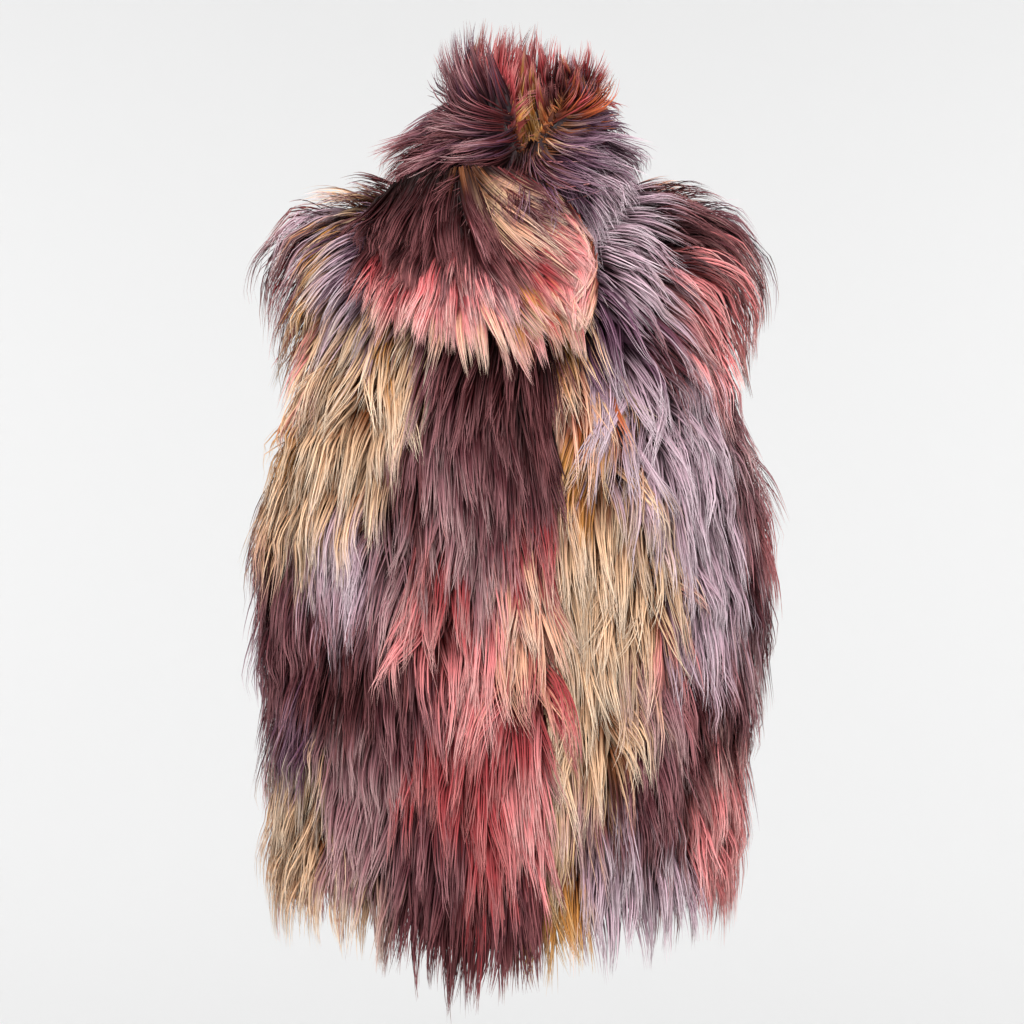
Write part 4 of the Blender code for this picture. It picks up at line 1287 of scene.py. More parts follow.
# What the pile of every piece has in common
LOCK_DENSITY_LIMIT = 60000.0
SORT_BAND = 0.020
BAND_WEIGHT = 100.0
RAGGED_SCALE = 55.0
RAGGED_BY = 0.022
FULL_TURN = 6.283
LOCK_WAVES = 4.6
STRAND_WAVES = 5.2
GATHER_POWER = 1.25
CLIMB_POWER = 2.6
TAPER_POWER = 2.2
TAPER = -0.96


def pile_tree():
    """Combed pile on a bed: strands gathered into waving locks, each lock in its own layer."""
    tree = bpy.data.node_groups.new("combed_pile", "GeometryNodeTree")
    tree.interface.new_socket("Bed", in_out="INPUT", socket_type="NodeSocketGeometry")
    for label, kind, _ in PILE_SOCKETS:
        tree.interface.new_socket(label, in_out="INPUT", socket_type=kind)
    tree.interface.new_socket("Material", in_out="INPUT", socket_type="NodeSocketMaterial")
    tree.interface.new_socket("Pile", in_out="OUTPUT", socket_type="NodeSocketGeometry")
    given = tree.nodes.new("NodeGroupInput").outputs
    math_kind, vector_kind = "ShaderNodeMath", "ShaderNodeVectorMath"
    named, store = "GeometryNodeInputNamedAttribute", "GeometryNodeStoreNamedAttribute"
    sample, surface = "GeometryNodeSampleIndex", "GeometryNodeSampleUVSurface"
    chance, mix = "FunctionNodeRandomValue", "ShaderNodeMix"
    bed = given["Bed"]
    rooted, reach, curl, swept = (
        add(tree, named, {"Name": name}, data_type="FLOAT")
        for name in ("rooted", "reach", "curl", "bend")
    )
    place, nap, rise = (
        add(tree, named, {"Name": name}, data_type="FLOAT_VECTOR")
        for name in ("place", "nap", "rise")
    )
    position = add(tree, "GeometryNodeInputPosition")

    # The locks' and the strands' roots, the strands in order of place
    lock_seed = add(tree, math_kind, {0: given["Seed"], 1: 17.0}, operation="ADD")
    locks = add(
        tree, "GeometryNodeDistributePointsOnFaces",
        {"Mesh": bed, "Distance Min": given["Lock spacing"], "Density Max": LOCK_DENSITY_LIMIT,
         "Density Factor": rooted, "Seed": lock_seed},
        distribute_method="POISSON",
    )
    density = add(
        tree, math_kind, {0: given["Strands per square metre"], 1: rooted},
        operation="MULTIPLY",
    )
    roots = add(
        tree, "GeometryNodeDistributePointsOnFaces",
        {"Mesh": bed, "Density": density, "Seed": given["Seed"]},
        distribute_method="RANDOM",
    )
    apart = add(tree, "ShaderNodeSeparateXYZ", {"Vector": place})
    band = add(tree, math_kind, {0: apart.node.outputs["Y"], 1: SORT_BAND}, operation="DIVIDE")
    band = add(tree, math_kind, {0: band}, operation="FLOOR")
    order = add(
        tree, math_kind, {0: band, 1: BAND_WEIGHT, 2: apart.node.outputs["X"]},
        operation="MULTIPLY_ADD",
    )
    roots = add(
        tree, "GeometryNodeSortElements", {"Geometry": roots, "Sort Weight": order},
        domain="POINT",
    )

    # Each strand's lock, chosen with ragged borders
    uneven = add(
        tree, "ShaderNodeTexNoise", {"Vector": position, "Scale": RAGGED_SCALE, "Detail": 2.0}
    )
    uneven = add(
        tree, vector_kind, {0: uneven.node.outputs["Color"], 1: (0.5, 0.5, 0.5)},
        operation="SUBTRACT",
    )
    uneven = add(tree, vector_kind, {0: uneven, "Scale": RAGGED_BY}, operation="SCALE")
    asked = add(tree, vector_kind, {0: position, 1: uneven}, operation="ADD")
    nearest = add(
        tree, "GeometryNodeSampleNearest", {"Geometry": locks, "Sample Position": asked},
        domain="POINT",
    )
    lock_place = add(
        tree, sample, {"Geometry": locks, "Value": place, "Index": nearest},
        data_type="FLOAT_VECTOR",
    )
    lock_nap = add(
        tree, sample, {"Geometry": locks, "Value": nap, "Index": nearest},
        data_type="FLOAT_VECTOR",
    )
    index = add(tree, "GeometryNodeInputIndex")
    points = roots
    for name, value, kind in (
        ("strand", index, "INT"), ("lock", nearest, "INT"),
        ("lock_place", lock_place, "FLOAT_VECTOR"), ("lock_nap", lock_nap, "FLOAT_VECTOR"),
    ):
        points = add(
            tree, store, {"Geometry": points, "Name": name, "Value": value},
            data_type=kind, domain="POINT",
        )
    strand, lock = (
        add(tree, named, {"Name": name}, data_type="INT") for name in ("strand", "lock")
    )
    lock_place, lock_nap = (
        add(tree, named, {"Name": name}, data_type="FLOAT_VECTOR")
        for name in ("lock_place", "lock_nap")
    )
    lock_bend, lock_phase, lock_layer, lock_short, lock_tone = (
        add(tree, chance, {"Min": low, "Max": high, "ID": lock, "Seed": seed}, data_type="FLOAT")
        for seed, low, high in (
            (1, -1.0, 1.0), (2, 0.0, FULL_TURN), (3, 0.0, 1.0), (4, 0.72, 1.06), (5, 0.0, 1.0),
        )
    )
    own_short, own_bend, own_layer, own_tone, own_tilt, own_phase = (
        add(tree, chance, {"Min": low, "Max": high, "ID": strand, "Seed": seed}, data_type="FLOAT")
        for seed, low, high in (
            (11, 0.0, 1.0), (12, -1.0, 1.0), (13, 0.0, 1.0), (14, 0.0, 1.0), (15, -0.9, 0.9),
            (16, 0.0, FULL_TURN),
        )
    )
    lock_drift, own_drift = (
        add(
            tree, chance, {"Min": (-x, -y, 0.0), "Max": (x, y, 0.0), "ID": group, "Seed": seed},
            data_type="FLOAT_VECTOR",
        )
        for seed, group, x, y in ((6, lock, 0.007, 0.024), (17, strand, 0.004, 0.014))
    )

    # A lock takes the dye from a little way off, so neighbouring dyes run into each other
    drift = add(tree, vector_kind, {0: lock_drift, 1: own_drift}, operation="ADD")
    halfway = add(tree, mix, {"Factor": 0.55, "A": place, "B": lock_place}, data_type="VECTOR")
    dye_place = add(tree, vector_kind, {0: halfway, 1: drift}, operation="ADD")
    for name in DYE_ATTRIBUTES:
        own = add(tree, named, {"Name": name}, data_type="FLOAT_VECTOR")
        found = add(
            tree, surface, {"Mesh": bed, "Value": own, "UV Map": place, "Sample UV": dye_place},
            data_type="FLOAT_VECTOR",
        )
        chosen = add(
            tree, "GeometryNodeSwitch",
            {"Switch": found.node.outputs["Is Valid"], "False": own, "True": found},
            input_type="VECTOR",
        )
        points = add(
            tree, store, {"Geometry": points, "Name": name, "Value": chosen},
            data_type="FLOAT_VECTOR", domain="POINT",
        )
    tone_and_depth_shade = add(tree, mix, {"Factor": 0.45, "A": own_tone, "B": lock_tone}, data_type="FLOAT")
    # Strands of the lower locks are darker: painted shade deep in the pile, over the strands'
    # random tone
    tone_and_depth_shade = add(tree, mix, {"Factor": 0.45, "A": tone_and_depth_shade, "B": lock_layer}, data_type="FLOAT")
    points = add(
        tree, store, {"Geometry": points, "Name": "tone_and_depth_shade", "Value": tone_and_depth_shade},
        data_type="FLOAT", domain="POINT",
    )

    # The points of each strand, from root to tip
    spread = add(
        tree, "GeometryNodeDuplicateElements",
        {"Geometry": points, "Amount": given["Points a strand"]},
        domain="POINT",
    )
    last = add(tree, math_kind, {0: given["Points a strand"], 1: 1.0}, operation="SUBTRACT")
    share = add(
        tree, math_kind, {0: spread.node.outputs["Duplicate Index"], 1: last},
        operation="DIVIDE",
    )
    points = add(
        tree, store, {"Geometry": spread, "Name": "along", "Value": share},
        data_type="FLOAT", domain="POINT",
    )
    along = add(tree, named, {"Name": "along"}, data_type="FLOAT")
    squared = add(tree, math_kind, {0: along, 1: 2.0}, operation="POWER")

    # Sideways: the lock's bend and wave, and the strand's own
    bend = add(tree, math_kind, {0: curl, 1: 0.20, 2: 0.09}, operation="MULTIPLY_ADD")
    bend = add(tree, math_kind, {0: bend, 1: lock_bend, 2: swept}, operation="MULTIPLY_ADD")
    bend = add(tree, math_kind, {0: bend, 1: squared}, operation="MULTIPLY")
    waves = add(tree, math_kind, {0: along, 1: LOCK_WAVES, 2: lock_phase}, operation="MULTIPLY_ADD")
    wave = add(tree, math_kind, {0: waves}, operation="SINE")
    at_root = add(tree, math_kind, {0: lock_phase}, operation="SINE")
    wave = add(tree, math_kind, {0: wave, 1: at_root}, operation="SUBTRACT")
    strength = add(tree, math_kind, {0: curl, 1: 2.0, 2: 0.6}, operation="MULTIPLY_ADD")
    strength = add(tree, math_kind, {0: strength, 1: given["Lock wave"]}, operation="MULTIPLY")
    wave = add(tree, math_kind, {0: wave, 1: strength, 2: bend}, operation="MULTIPLY_ADD")
    own_waves = add(
        tree, math_kind, {0: along, 1: STRAND_WAVES, 2: own_phase}, operation="MULTIPLY_ADD"
    )
    own_wave = add(tree, math_kind, {0: own_waves}, operation="SINE")
    own_wave = add(tree, math_kind, {0: own_wave, 1: 0.35, 2: own_bend}, operation="MULTIPLY_ADD")
    own_wave = add(tree, math_kind, {0: own_wave, 1: squared}, operation="MULTIPLY")
    sideways = add(
        tree, math_kind, {0: own_wave, 1: given["Strand wave"], 2: wave},
        operation="MULTIPLY_ADD",
    )

    # Lengthways, and drawn in towards the lock's middle
    way = add(tree, mix, {"Factor": 0.4, "A": lock_nap, "B": nap}, data_type="VECTOR")
    way = add(tree, vector_kind, {0: way}, operation="NORMALIZE")
    across = add(tree, vector_kind, {0: (0.0, 0.0, 1.0), 1: way}, operation="CROSS_PRODUCT")
    short = add(tree, math_kind, {0: own_short, 1: given["Length spread"]}, operation="MULTIPLY")
    short = add(tree, math_kind, {0: 1.0, 1: short}, operation="SUBTRACT")
    length = add(tree, math_kind, {0: short, 1: lock_short}, operation="MULTIPLY")
    length = add(tree, math_kind, {0: length, 1: reach}, operation="MULTIPLY")
    length = add(tree, math_kind, {0: length, 1: given["Length"]}, operation="MULTIPLY")
    forward = add(tree, math_kind, {0: along, 1: length}, operation="MULTIPLY")
    aside = add(tree, math_kind, {0: sideways, 1: length}, operation="MULTIPLY")
    forward = add(tree, vector_kind, {0: way, "Scale": forward}, operation="SCALE")
    aside = add(tree, vector_kind, {0: across, "Scale": aside}, operation="SCALE")
    stray = add(
        tree, math_kind, {0: own_tone, 1: given["Share of strays"]},
        operation="GREATER_THAN",
    )
    stray = add(tree, math_kind, {0: stray, 1: 0.8, 2: 0.2}, operation="MULTIPLY_ADD")
    gather = add(tree, math_kind, {0: along, 1: GATHER_POWER}, operation="POWER")
    gather = add(tree, math_kind, {0: gather, 1: given["Clumping"]}, operation="MULTIPLY")
    gather = add(tree, math_kind, {0: gather, 1: stray}, operation="MULTIPLY")
    loose = add(tree, math_kind, {0: 1.0, 1: gather}, operation="SUBTRACT")
    offset = add(tree, vector_kind, {0: place, 1: lock_place}, operation="SUBTRACT")
    from_middle = add(tree, vector_kind, {0: offset}, operation="LENGTH")
    offset = add(tree, vector_kind, {0: offset, "Scale": loose}, operation="SCALE")
    goes = add(tree, vector_kind, {0: lock_place, 1: offset}, operation="ADD")
    goes = add(tree, vector_kind, {0: goes, 1: forward}, operation="ADD")
    goes = add(tree, vector_kind, {0: goes, 1: aside}, operation="ADD")

    # Upwards: each lock has its layer, highest along its middle
    layer = add(tree, mix, {"Factor": 0.38, "A": lock_layer, "B": own_layer}, data_type="FLOAT")
    outer = add(tree, math_kind, {0: from_middle, 1: given["Lock spacing"]}, operation="DIVIDE")
    layer = add(tree, math_kind, {0: outer, 1: -0.30, 2: layer}, operation="MULTIPLY_ADD")
    layer = add(
        tree, "ShaderNodeMapRange",
        {"Value": layer, "From Min": -0.15, "From Max": 1.0, "To Min": given["Lowest layer"],
         "To Max": given["Highest layer"]},
    )
    left = add(tree, math_kind, {0: 1.0, 1: along}, operation="SUBTRACT")
    left = add(tree, math_kind, {0: left, 1: CLIMB_POWER}, operation="POWER")
    climbed = add(tree, math_kind, {0: 1.02, 1: left}, operation="SUBTRACT")
    height = add(tree, math_kind, {0: layer, 1: climbed}, operation="MULTIPLY")
    lifted = add(tree, math_kind, {0: squared, 1: given["Tip lift"]}, operation="MULTIPLY")
    height = add(tree, math_kind, {0: lifted, 1: lock_layer, 2: height}, operation="MULTIPLY_ADD")
    under = add(
        tree, surface, {"Mesh": bed, "Value": position, "UV Map": place, "Sample UV": goes},
        data_type="FLOAT_VECTOR",
    )
    up = add(
        tree, surface, {"Mesh": bed, "Value": rise, "UV Map": place, "Sample UV": goes},
        data_type="FLOAT_VECTOR",
    )
    raised = add(tree, vector_kind, {0: up, "Scale": height}, operation="SCALE")
    target = add(tree, vector_kind, {0: under, 1: raised}, operation="ADD")
    lost = add(tree, math_kind, {0: 1.0, 1: under.node.outputs["Is Valid"]}, operation="SUBTRACT")
    for name, value, kind in (
        ("lost", lost, "FLOAT"), ("up", up, "FLOAT_VECTOR"), ("target", target, "FLOAT_VECTOR"),
    ):
        points = add(
            tree, store, {"Geometry": points, "Name": name, "Value": value},
            data_type=kind, domain="POINT",
        )
    target = add(tree, named, {"Name": "target"}, data_type="FLOAT_VECTOR")
    points = add(tree, "GeometryNodeSetPosition", {"Geometry": points, "Position": target})
    lost = add(tree, named, {"Name": "lost"}, data_type="FLOAT")
    lost = add(
        tree, "GeometryNodeAccumulateField", {"Value": lost, "Group ID": strand},
        domain="POINT",
    )
    gone = add(tree, math_kind, {0: lost.node.outputs["Total"], 1: 0.5}, operation="GREATER_THAN")
    points = add(
        tree, "GeometryNodeDeleteGeometry", {"Geometry": points, "Selection": gone},
        domain="POINT",
    )

    # Each strand becomes a tapering ribbon that faces out of the pile, turned a little by chance
    curves = add(
        tree, "GeometryNodePointsToCurves",
        {"Points": points, "Curve Group ID": strand, "Weight": along},
    )
    up = add(tree, named, {"Name": "up"}, data_type="FLOAT_VECTOR")
    up = add(tree, vector_kind, {0: up}, operation="NORMALIZE")
    tangent = add(tree, "GeometryNodeInputTangent")
    beside = add(tree, vector_kind, {0: tangent, 1: up}, operation="CROSS_PRODUCT")
    beside = add(tree, vector_kind, {0: beside, "Scale": own_tilt}, operation="SCALE")
    facing = add(tree, vector_kind, {0: up, 1: beside}, operation="ADD")
    curves = add(
        tree, "GeometryNodeSetCurveNormal", {"Curve": curves, "Normal": facing},
        mode="FREE",
    )
    fine = add(tree, math_kind, {0: along, 1: TAPER_POWER}, operation="POWER")
    fine = add(tree, math_kind, {0: fine, 1: TAPER, 2: 1.0}, operation="MULTIPLY_ADD")
    thick = add(tree, math_kind, {0: own_layer, 1: 0.7, 2: 0.65}, operation="MULTIPLY_ADD")
    thick = add(tree, math_kind, {0: thick, 1: given["Strand width"]}, operation="MULTIPLY")
    width = add(tree, math_kind, {0: fine, 1: thick}, operation="MULTIPLY")
    profile = add(
        tree, "GeometryNodeCurvePrimitiveLine", {"Start": (0.0, -0.5, 0.0), "End": (0.0, 0.5, 0.0)},
    )
    profile = add(
        tree, store, {"Geometry": profile, "Name": "side", "Value": index},
        data_type="FLOAT", domain="POINT",
    )
    mesh = add(
        tree, "GeometryNodeCurveToMesh", {"Curve": curves, "Profile Curve": profile, "Scale": width}
    )

    # Each ribbon is one narrow strip of the map, and neighbours on the vest are neighbours there
    side = add(tree, named, {"Name": "side"}, data_type="FLOAT")
    total = add(
        tree, "GeometryNodeAttributeDomainSize", {"Geometry": roots},
        component="POINTCLOUD",
    )
    lines = add(tree, math_kind, {0: total, 1: given["Strips across"]}, operation="DIVIDE")
    lines = add(tree, math_kind, {0: lines}, operation="CEIL")
    column = add(tree, math_kind, {0: strand, 1: given["Strips across"]}, operation="MODULO")
    line = add(tree, math_kind, {0: strand, 1: given["Strips across"]}, operation="DIVIDE")
    line = add(tree, math_kind, {0: line}, operation="FLOOR")
    u = add(tree, math_kind, {0: side, 1: 0.76, 2: 0.12}, operation="MULTIPLY_ADD")
    u = add(tree, math_kind, {0: u, 1: column}, operation="ADD")
    u = add(tree, math_kind, {0: u, 1: given["Strips across"]}, operation="DIVIDE")
    v = add(tree, math_kind, {0: along, 1: 0.90, 2: 0.05}, operation="MULTIPLY_ADD")
    v = add(tree, math_kind, {0: v, 1: line}, operation="ADD")
    v = add(tree, math_kind, {0: v, 1: lines}, operation="DIVIDE")
    uv = add(tree, "ShaderNodeCombineXYZ", {"X": u, "Y": v, "Z": 0.0})
    mesh = add(
        tree, store, {"Geometry": mesh, "Name": "OFBake", "Value": uv},
        data_type="FLOAT2", domain="CORNER",
    )
    mesh = add(tree, "GeometryNodeSetShadeSmooth", {"Geometry": mesh, "Shade Smooth": True})
    mesh = add(tree, "GeometryNodeRealizeInstances", {"Geometry": mesh})
    mesh = add(tree, "GeometryNodeSetMaterial", {"Geometry": mesh, "Material": given["Material"]})
    tree.links.new(mesh, tree.nodes.new("NodeGroupOutput").inputs["Pile"])
    return tree


KEPT_ATTRIBUTES = {*DYE_ATTRIBUTES, "along", "side", "tone_and_depth_shade", "OFBake"}


def grown(name, bed, flat, settings, material):
    """The pile of one bed as a plain mesh object."""
    tree = bpy.data.node_groups.get("combed_pile") or pile_tree()
    piece = bpy.data.objects.new(name, bed_mesh(name + "_bed", bed, flat))
    bpy.context.scene.collection.objects.link(piece)
    modifier = piece.modifiers.new("pile", "NODES")
    modifier.node_group = tree
    inputs = [item for item in tree.interface.items_tree if item.in_out == "INPUT"]
    identifiers = {item.name: item.identifier for item in inputs}
    for label, _, field in PILE_SOCKETS:
        modifier[identifiers[label]] = getattr(settings, field)
    modifier[identifiers["Material"]] = material
    evaluated = piece.evaluated_get(bpy.context.evaluated_depsgraph_get())
    mesh = bpy.data.meshes.new_from_object(evaluated)
    piece.modifiers.clear()
    laid_out = piece.data
    piece.data = mesh
    bpy.data.meshes.remove(laid_out)
    if not mesh.polygons:
        raise RuntimeError(name + " grew no pile")
    for attribute in list(mesh.attributes):
        blender_needs_it = attribute.is_internal or attribute.is_required
        if attribute.name not in KEPT_ATTRIBUTES and not blender_needs_it:
            mesh.attributes.remove(attribute)
    mesh.name = name
    print(name, len(mesh.polygons) * 2, "triangles")
    return piece


# The two finishes. Noise of scale 160 changes about every 6 mm, and bands of scale 78 every 4 mm
MODACRYLIC_IOR = 1.5
FIBRE_SHINE = 0.13
SATIN_ROUGHNESS = (0.38, 0.56)
STREAK_SCALE = 160.0
HALF_TURN = 3.1416
LOOP_SCALE = 78.0
KNIT_ROUGHNESS = 0.86
KNIT_SHEEN = 0.2


def pile_material(name, bright, frost):
    """Modacrylic faux fur, drawn and dyed: satin fibres, dark at the root by dye and painted shade,
    and paler at the tip.
    """
    # The frosted tips are pale while the roots stay deep as painted shade: the eye sees depth and
    # separate locks
    material = bpy.data.materials.new(name)
    material.use_nodes = True
    tree = material.node_tree
    shader = tree.nodes["Principled BSDF"]
    root, middle, tip = (
        add(tree, "ShaderNodeAttribute", attribute_name=part) for part in DYE_ATTRIBUTES
    )
    along, side, tone_and_depth_shade = (
        add(tree, "ShaderNodeAttribute", attribute_name=part).node.outputs["Fac"]
        for part in ("along", "side", "tone_and_depth_shade")
    )
    # From the root to about half way, the colour runs from the root dye, darkened as painted shade,
    # to the middle dye
    rising = add(
        tree, "ShaderNodeMapRange", {"Value": along, "From Min": 0.12, "From Max": 0.54},
        interpolation_type="SMOOTHSTEP",
    )
    colour = add(
        tree, "ShaderNodeMix", {"Factor": rising, "A": root, "B": middle}, data_type="RGBA"
    )
    ending = add(
        tree, "ShaderNodeMapRange",
        {"Value": along, "From Min": 0.48, "From Max": 1.0, "To Max": frost},
        interpolation_type="SMOOTHSTEP",
    )
    colour = add(tree, "ShaderNodeMix", {"Factor": ending, "A": colour, "B": tip}, data_type="RGBA")
    # Streaks about 6 mm long along the fibres
    place = add(tree, "ShaderNodeTexCoord").node.outputs["Object"]
    streaks = add(
        tree, "ShaderNodeTexNoise", {"Vector": place, "Scale": STREAK_SCALE, "Detail": 2.0},
    )
    # Lightness follows each strand's tone, which holds random tone and painted shade for the lower
    # locks
    lightness = add(tree, "ShaderNodeMath", {0: tone_and_depth_shade, 1: 0.95, 2: 0.36}, operation="MULTIPLY_ADD")
    lightness = add(
        tree, "ShaderNodeMath", {0: streaks, 1: 0.36, 2: lightness},
        operation="MULTIPLY_ADD",
    )
    # The bright factor darkens a whole layer, as painted shade for the ground pile
    lightness = add(tree, "ShaderNodeMath", {0: lightness, 1: bright}, operation="MULTIPLY")
    colour = add(tree, "ShaderNodeVectorMath", {0: colour, "Scale": lightness}, operation="SCALE")
    tree.links.new(colour, shader.inputs["Base Color"])
    satin = add(
        tree, "ShaderNodeMapRange",
        {"Value": streaks, "From Min": 0.3, "From Max": 0.7, "To Min": SATIN_ROUGHNESS[0],
         "To Max": SATIN_ROUGHNESS[1]},
    )
    tree.links.new(satin, shader.inputs["Roughness"])
    # A fibre bundle is round: the ribbon's two edges turn away
    round_off = add(tree, "ShaderNodeMath", {0: side, 1: HALF_TURN}, operation="MULTIPLY")
    round_off = add(tree, "ShaderNodeMath", {0: round_off}, operation="SINE")
    bump = add(tree, "ShaderNodeBump", {"Strength": 0.6, "Distance": 0.0005, "Height": round_off})
    tree.links.new(bump, shader.inputs["Normal"])
    shader.inputs["IOR"].default_value = MODACRYLIC_IOR
    shader.inputs["Specular IOR Level"].default_value = FIBRE_SHINE
    return material


def backing_material(name, colour):
    """Warp-knitted polyester backing: rows of fine loops, matt, with the dye showing unevenly and
    painted shade in the gaps between the loops.
    """
    # The loops are about 1.1 mm in life and are drawn at 4 mm, so that they show
    material = bpy.data.materials.new(name)
    material.use_nodes = True
    tree = material.node_tree
    shader = tree.nodes["Principled BSDF"]
    place = add(tree, "ShaderNodeTexCoord").node.outputs["Object"]
    courses, wales = (
        add(
            tree, "ShaderNodeTexWave", {"Vector": place, "Scale": LOOP_SCALE, "Distortion": 0.6},
            bands_direction=direction,
        ).node.outputs["Fac"]
        for direction in ("Z", "X")
    )
    loops = add(tree, "ShaderNodeMath", {0: courses, 1: wales}, operation="MULTIPLY")
    stains = add(tree, "ShaderNodeTexNoise", {"Vector": place, "Scale": 14.0, "Detail": 3.0})
    pale = [min(1.0, part * 1.7) for part in colour]
    shade = add(
        tree, "ShaderNodeMix", {"Factor": stains, "A": (*colour, 1.0), "B": (*pale, 1.0)},
        data_type="RGBA",
    )
    # The gaps between the loops are painted darker, as shade
    dark = [part * 0.45 for part in colour]
    loop_gaps_painted_dark = add(
        tree, "ShaderNodeMapRange",
        {"Value": loops, "From Max": 0.35, "To Min": 0.6, "To Max": 0.0},
    )
    shade = add(
        tree, "ShaderNodeMix", {"Factor": loop_gaps_painted_dark, "A": shade, "B": (*dark, 1.0)},
        data_type="RGBA",
    )
    tree.links.new(shade, shader.inputs["Base Color"])
    bump = add(tree, "ShaderNodeBump", {"Strength": 0.5, "Distance": 0.0006, "Height": loops})
    tree.links.new(bump, shader.inputs["Normal"])
    shader.inputs["Roughness"].default_value = KNIT_ROUGHNESS
    shader.inputs["Sheen Weight"].default_value = KNIT_SHEEN
    return material


def backing(name, cut, material):
    """The piece's backing cloth: one thin closed wall on the figure's side of the pile."""
    inner = finer(cut.points, 2)
    outward = finer(cut.facing, 2)
    outer = inner + unit(outward) * BACKING_THICKNESS
    numbers, cells = grid_cells(*inner.shape[:2])
    far = numbers.size
    near = np.concatenate(
        [numbers[0, :-1], numbers[:-1, -1], numbers[-1, :0:-1], numbers[:0:-1, 0]]
    )
    after = np.roll(near, -1)
    rim = np.stack([after, near, near + far, after + far], -1)
    points = np.concatenate([inner.reshape(-1, 3), outer.reshape(-1, 3)])
    faces = np.concatenate([cells[:, ::-1], cells + far, rim])
    way = np.cross(inner[0, 1] - inner[0, 0], inner[1, 0] - inner[0, 0])
    if np.dot(way, outward[0, 0]) < 0:
        faces = faces[:, ::-1]
    mesh = bpy.data.meshes.new(name)
    mesh.from_pydata(points.tolist(), [], faces.tolist())
    mesh.shade_smooth()
    mesh.materials.append(material)
    piece = bpy.data.objects.new(name, mesh)
    bpy.context.scene.collection.objects.link(piece)
    return piece


def dressed(node, cut, pile):
    """Put the backing and its pile on the frame in place of the node."""
    knit = shared_material("polyester_knit_backing", knit_backing)
    cloth = backing(node + "_backing", cut, knit)
    for piece in [cloth] + pile:
        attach(piece, "root")
        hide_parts(node)


def shared_material(name, build):
    return bpy.data.materials.get(name) or build(name)


def long_pile(name):
    return pile_material(name, 1.0, 0.85)


def ground_pile(name):
    # The ground pile is painted at 0.42 of the long pile's lightness, as shade deep under the
    # locks, and its tips are hardly frosted
    return pile_material(name, 0.42, 0.10)


def knit_backing(name):
    return backing_material(name, [float(c) for c in hex_colour("#2c181b")])


def the_dyes():
    """The dyes from the panel, as linear colours."""
    chosen = bpy.context.scene.vest_dyes
    found = {}
    for name, dye in DYES.items():
        middle = np.array(getattr(chosen, name))
        root, base, tip = (hex_colour(value) for value in dye)
        shift = middle / np.maximum(base, 1e-4)
        found[name] = [np.clip(root * shift, 0, 1), middle, np.clip(tip * shift**0.6, 0, 1)]
    return found


def settings_for(strands, points, seed, strips=512, **changes):
    """The pile's settings from the panel, for one layer of one piece."""
    pile = bpy.context.scene.vest_pile
    values = dict(
        strands=strands, lock_spacing=pile.lock_spacing, points=points, width=pile.strand_width,
        lowest=0.30, highest=1.14, lift=0.10, length=1.0, spread=0.30, clumping=pile.clumping,
        wave=pile.lock_wave, own_wave=0.035, strays=0.06, strips=strips, seed=seed,
    )
    values.update(changes)
    return PileSettings(**values)


def both_layers(node, bed, flat, strands, seed, points=8, strips=512, ground=0.22, **changes):
    """The ground pile close to the backing, painted darker as shade, and the long pile over it."""
    over = shared_material("modacrylic_long_pile_dyed_with_painted_shade", long_pile)
    under = shared_material("modacrylic_ground_pile_dyed_painted_dark", ground_pile)
    width = bpy.context.scene.vest_pile.strand_width
    low = settings_for(
        strands * ground, 5, seed + 50, strips, width=width * 3.2, lowest=0.05, highest=0.42,
        length=0.62, clumping=0.45, strays=0.0,
    )
    high = settings_for(strands, points, seed, strips, **changes)
    return [
        grown(node + "_ground_pile", bed, flat, low, under),
        grown(node + "_pile", bed, flat, high, over),
    ]


class VestPile(bpy.types.PropertyGroup):
    """The pile's sizes."""

    body_length: FloatProperty(
        name="Body pile length", description="Length of the longest strands on the fronts and back",
        default=0.098, min=0.03, max=0.16, unit="LENGTH", precision=3,
    )
    collar_length: FloatProperty(
        name="Collar pile length", description="Length of the strands on the collar",
        default=0.058, min=0.02, max=0.09, unit="LENGTH", precision=3,
    )
    tab_length: FloatProperty(
        name="Tab pile length", description="Length of the strands on the throat tab",
        default=0.088, min=0.02, max=0.12, unit="LENGTH", precision=3,
    )
    strand_width: FloatProperty(
        name="Strand width", description="Width of a strand, which stands for a bundle of fibres",
        default=0.00130, min=0.0004, max=0.004, unit="LENGTH", precision=5,
    )
    lock_spacing: FloatProperty(
        name="Lock spacing", description="Distance between the middles of neighbouring locks",
        default=0.0108, min=0.004, max=0.05, unit="LENGTH", precision=4,
    )
    clumping: FloatProperty(
        name="Clumping", description="How closely the tips of a lock draw together",
        default=0.80, min=0.0, max=1.0, subtype="FACTOR",
    )
    lock_wave: FloatProperty(
        name="Lock wave", description="How far a lock waves to each side, as a share of its length",
        default=0.018, min=0.0, max=0.3, subtype="FACTOR",
    )


def dye_property(name, description):
    """A colour input that starts at the dye's middle colour."""
    return FloatVectorProperty(
        name=name.capitalize(), description=description, subtype="COLOR", size=3,
        default=hex_colour(DYES[name].middle).tolist(),
    )


class VestDyes(bpy.types.PropertyGroup):
    """The middle colour of each dye. Roots and tips follow it."""

    burgundy: dye_property("burgundy", "Deep wine red")
    plum: dye_property("plum", "Dark brownish mauve")
    mauve: dye_property("mauve", "Greyed pink")
    lavender: dye_property("lavender", "Pale grey violet")
    purple: dye_property("purple", "Dusky violet")
    beige: dye_property("beige", "Undyed straw")
    ochre: dye_property("ochre", "Brownish yellow")
    peach: dye_property("peach", "Pale orange pink")
    pink: dye_property("pink", "Warm pink")
    rose: dye_property("rose", "Strong pinkish red")
    rust: dye_property("rust", "Brownish orange")


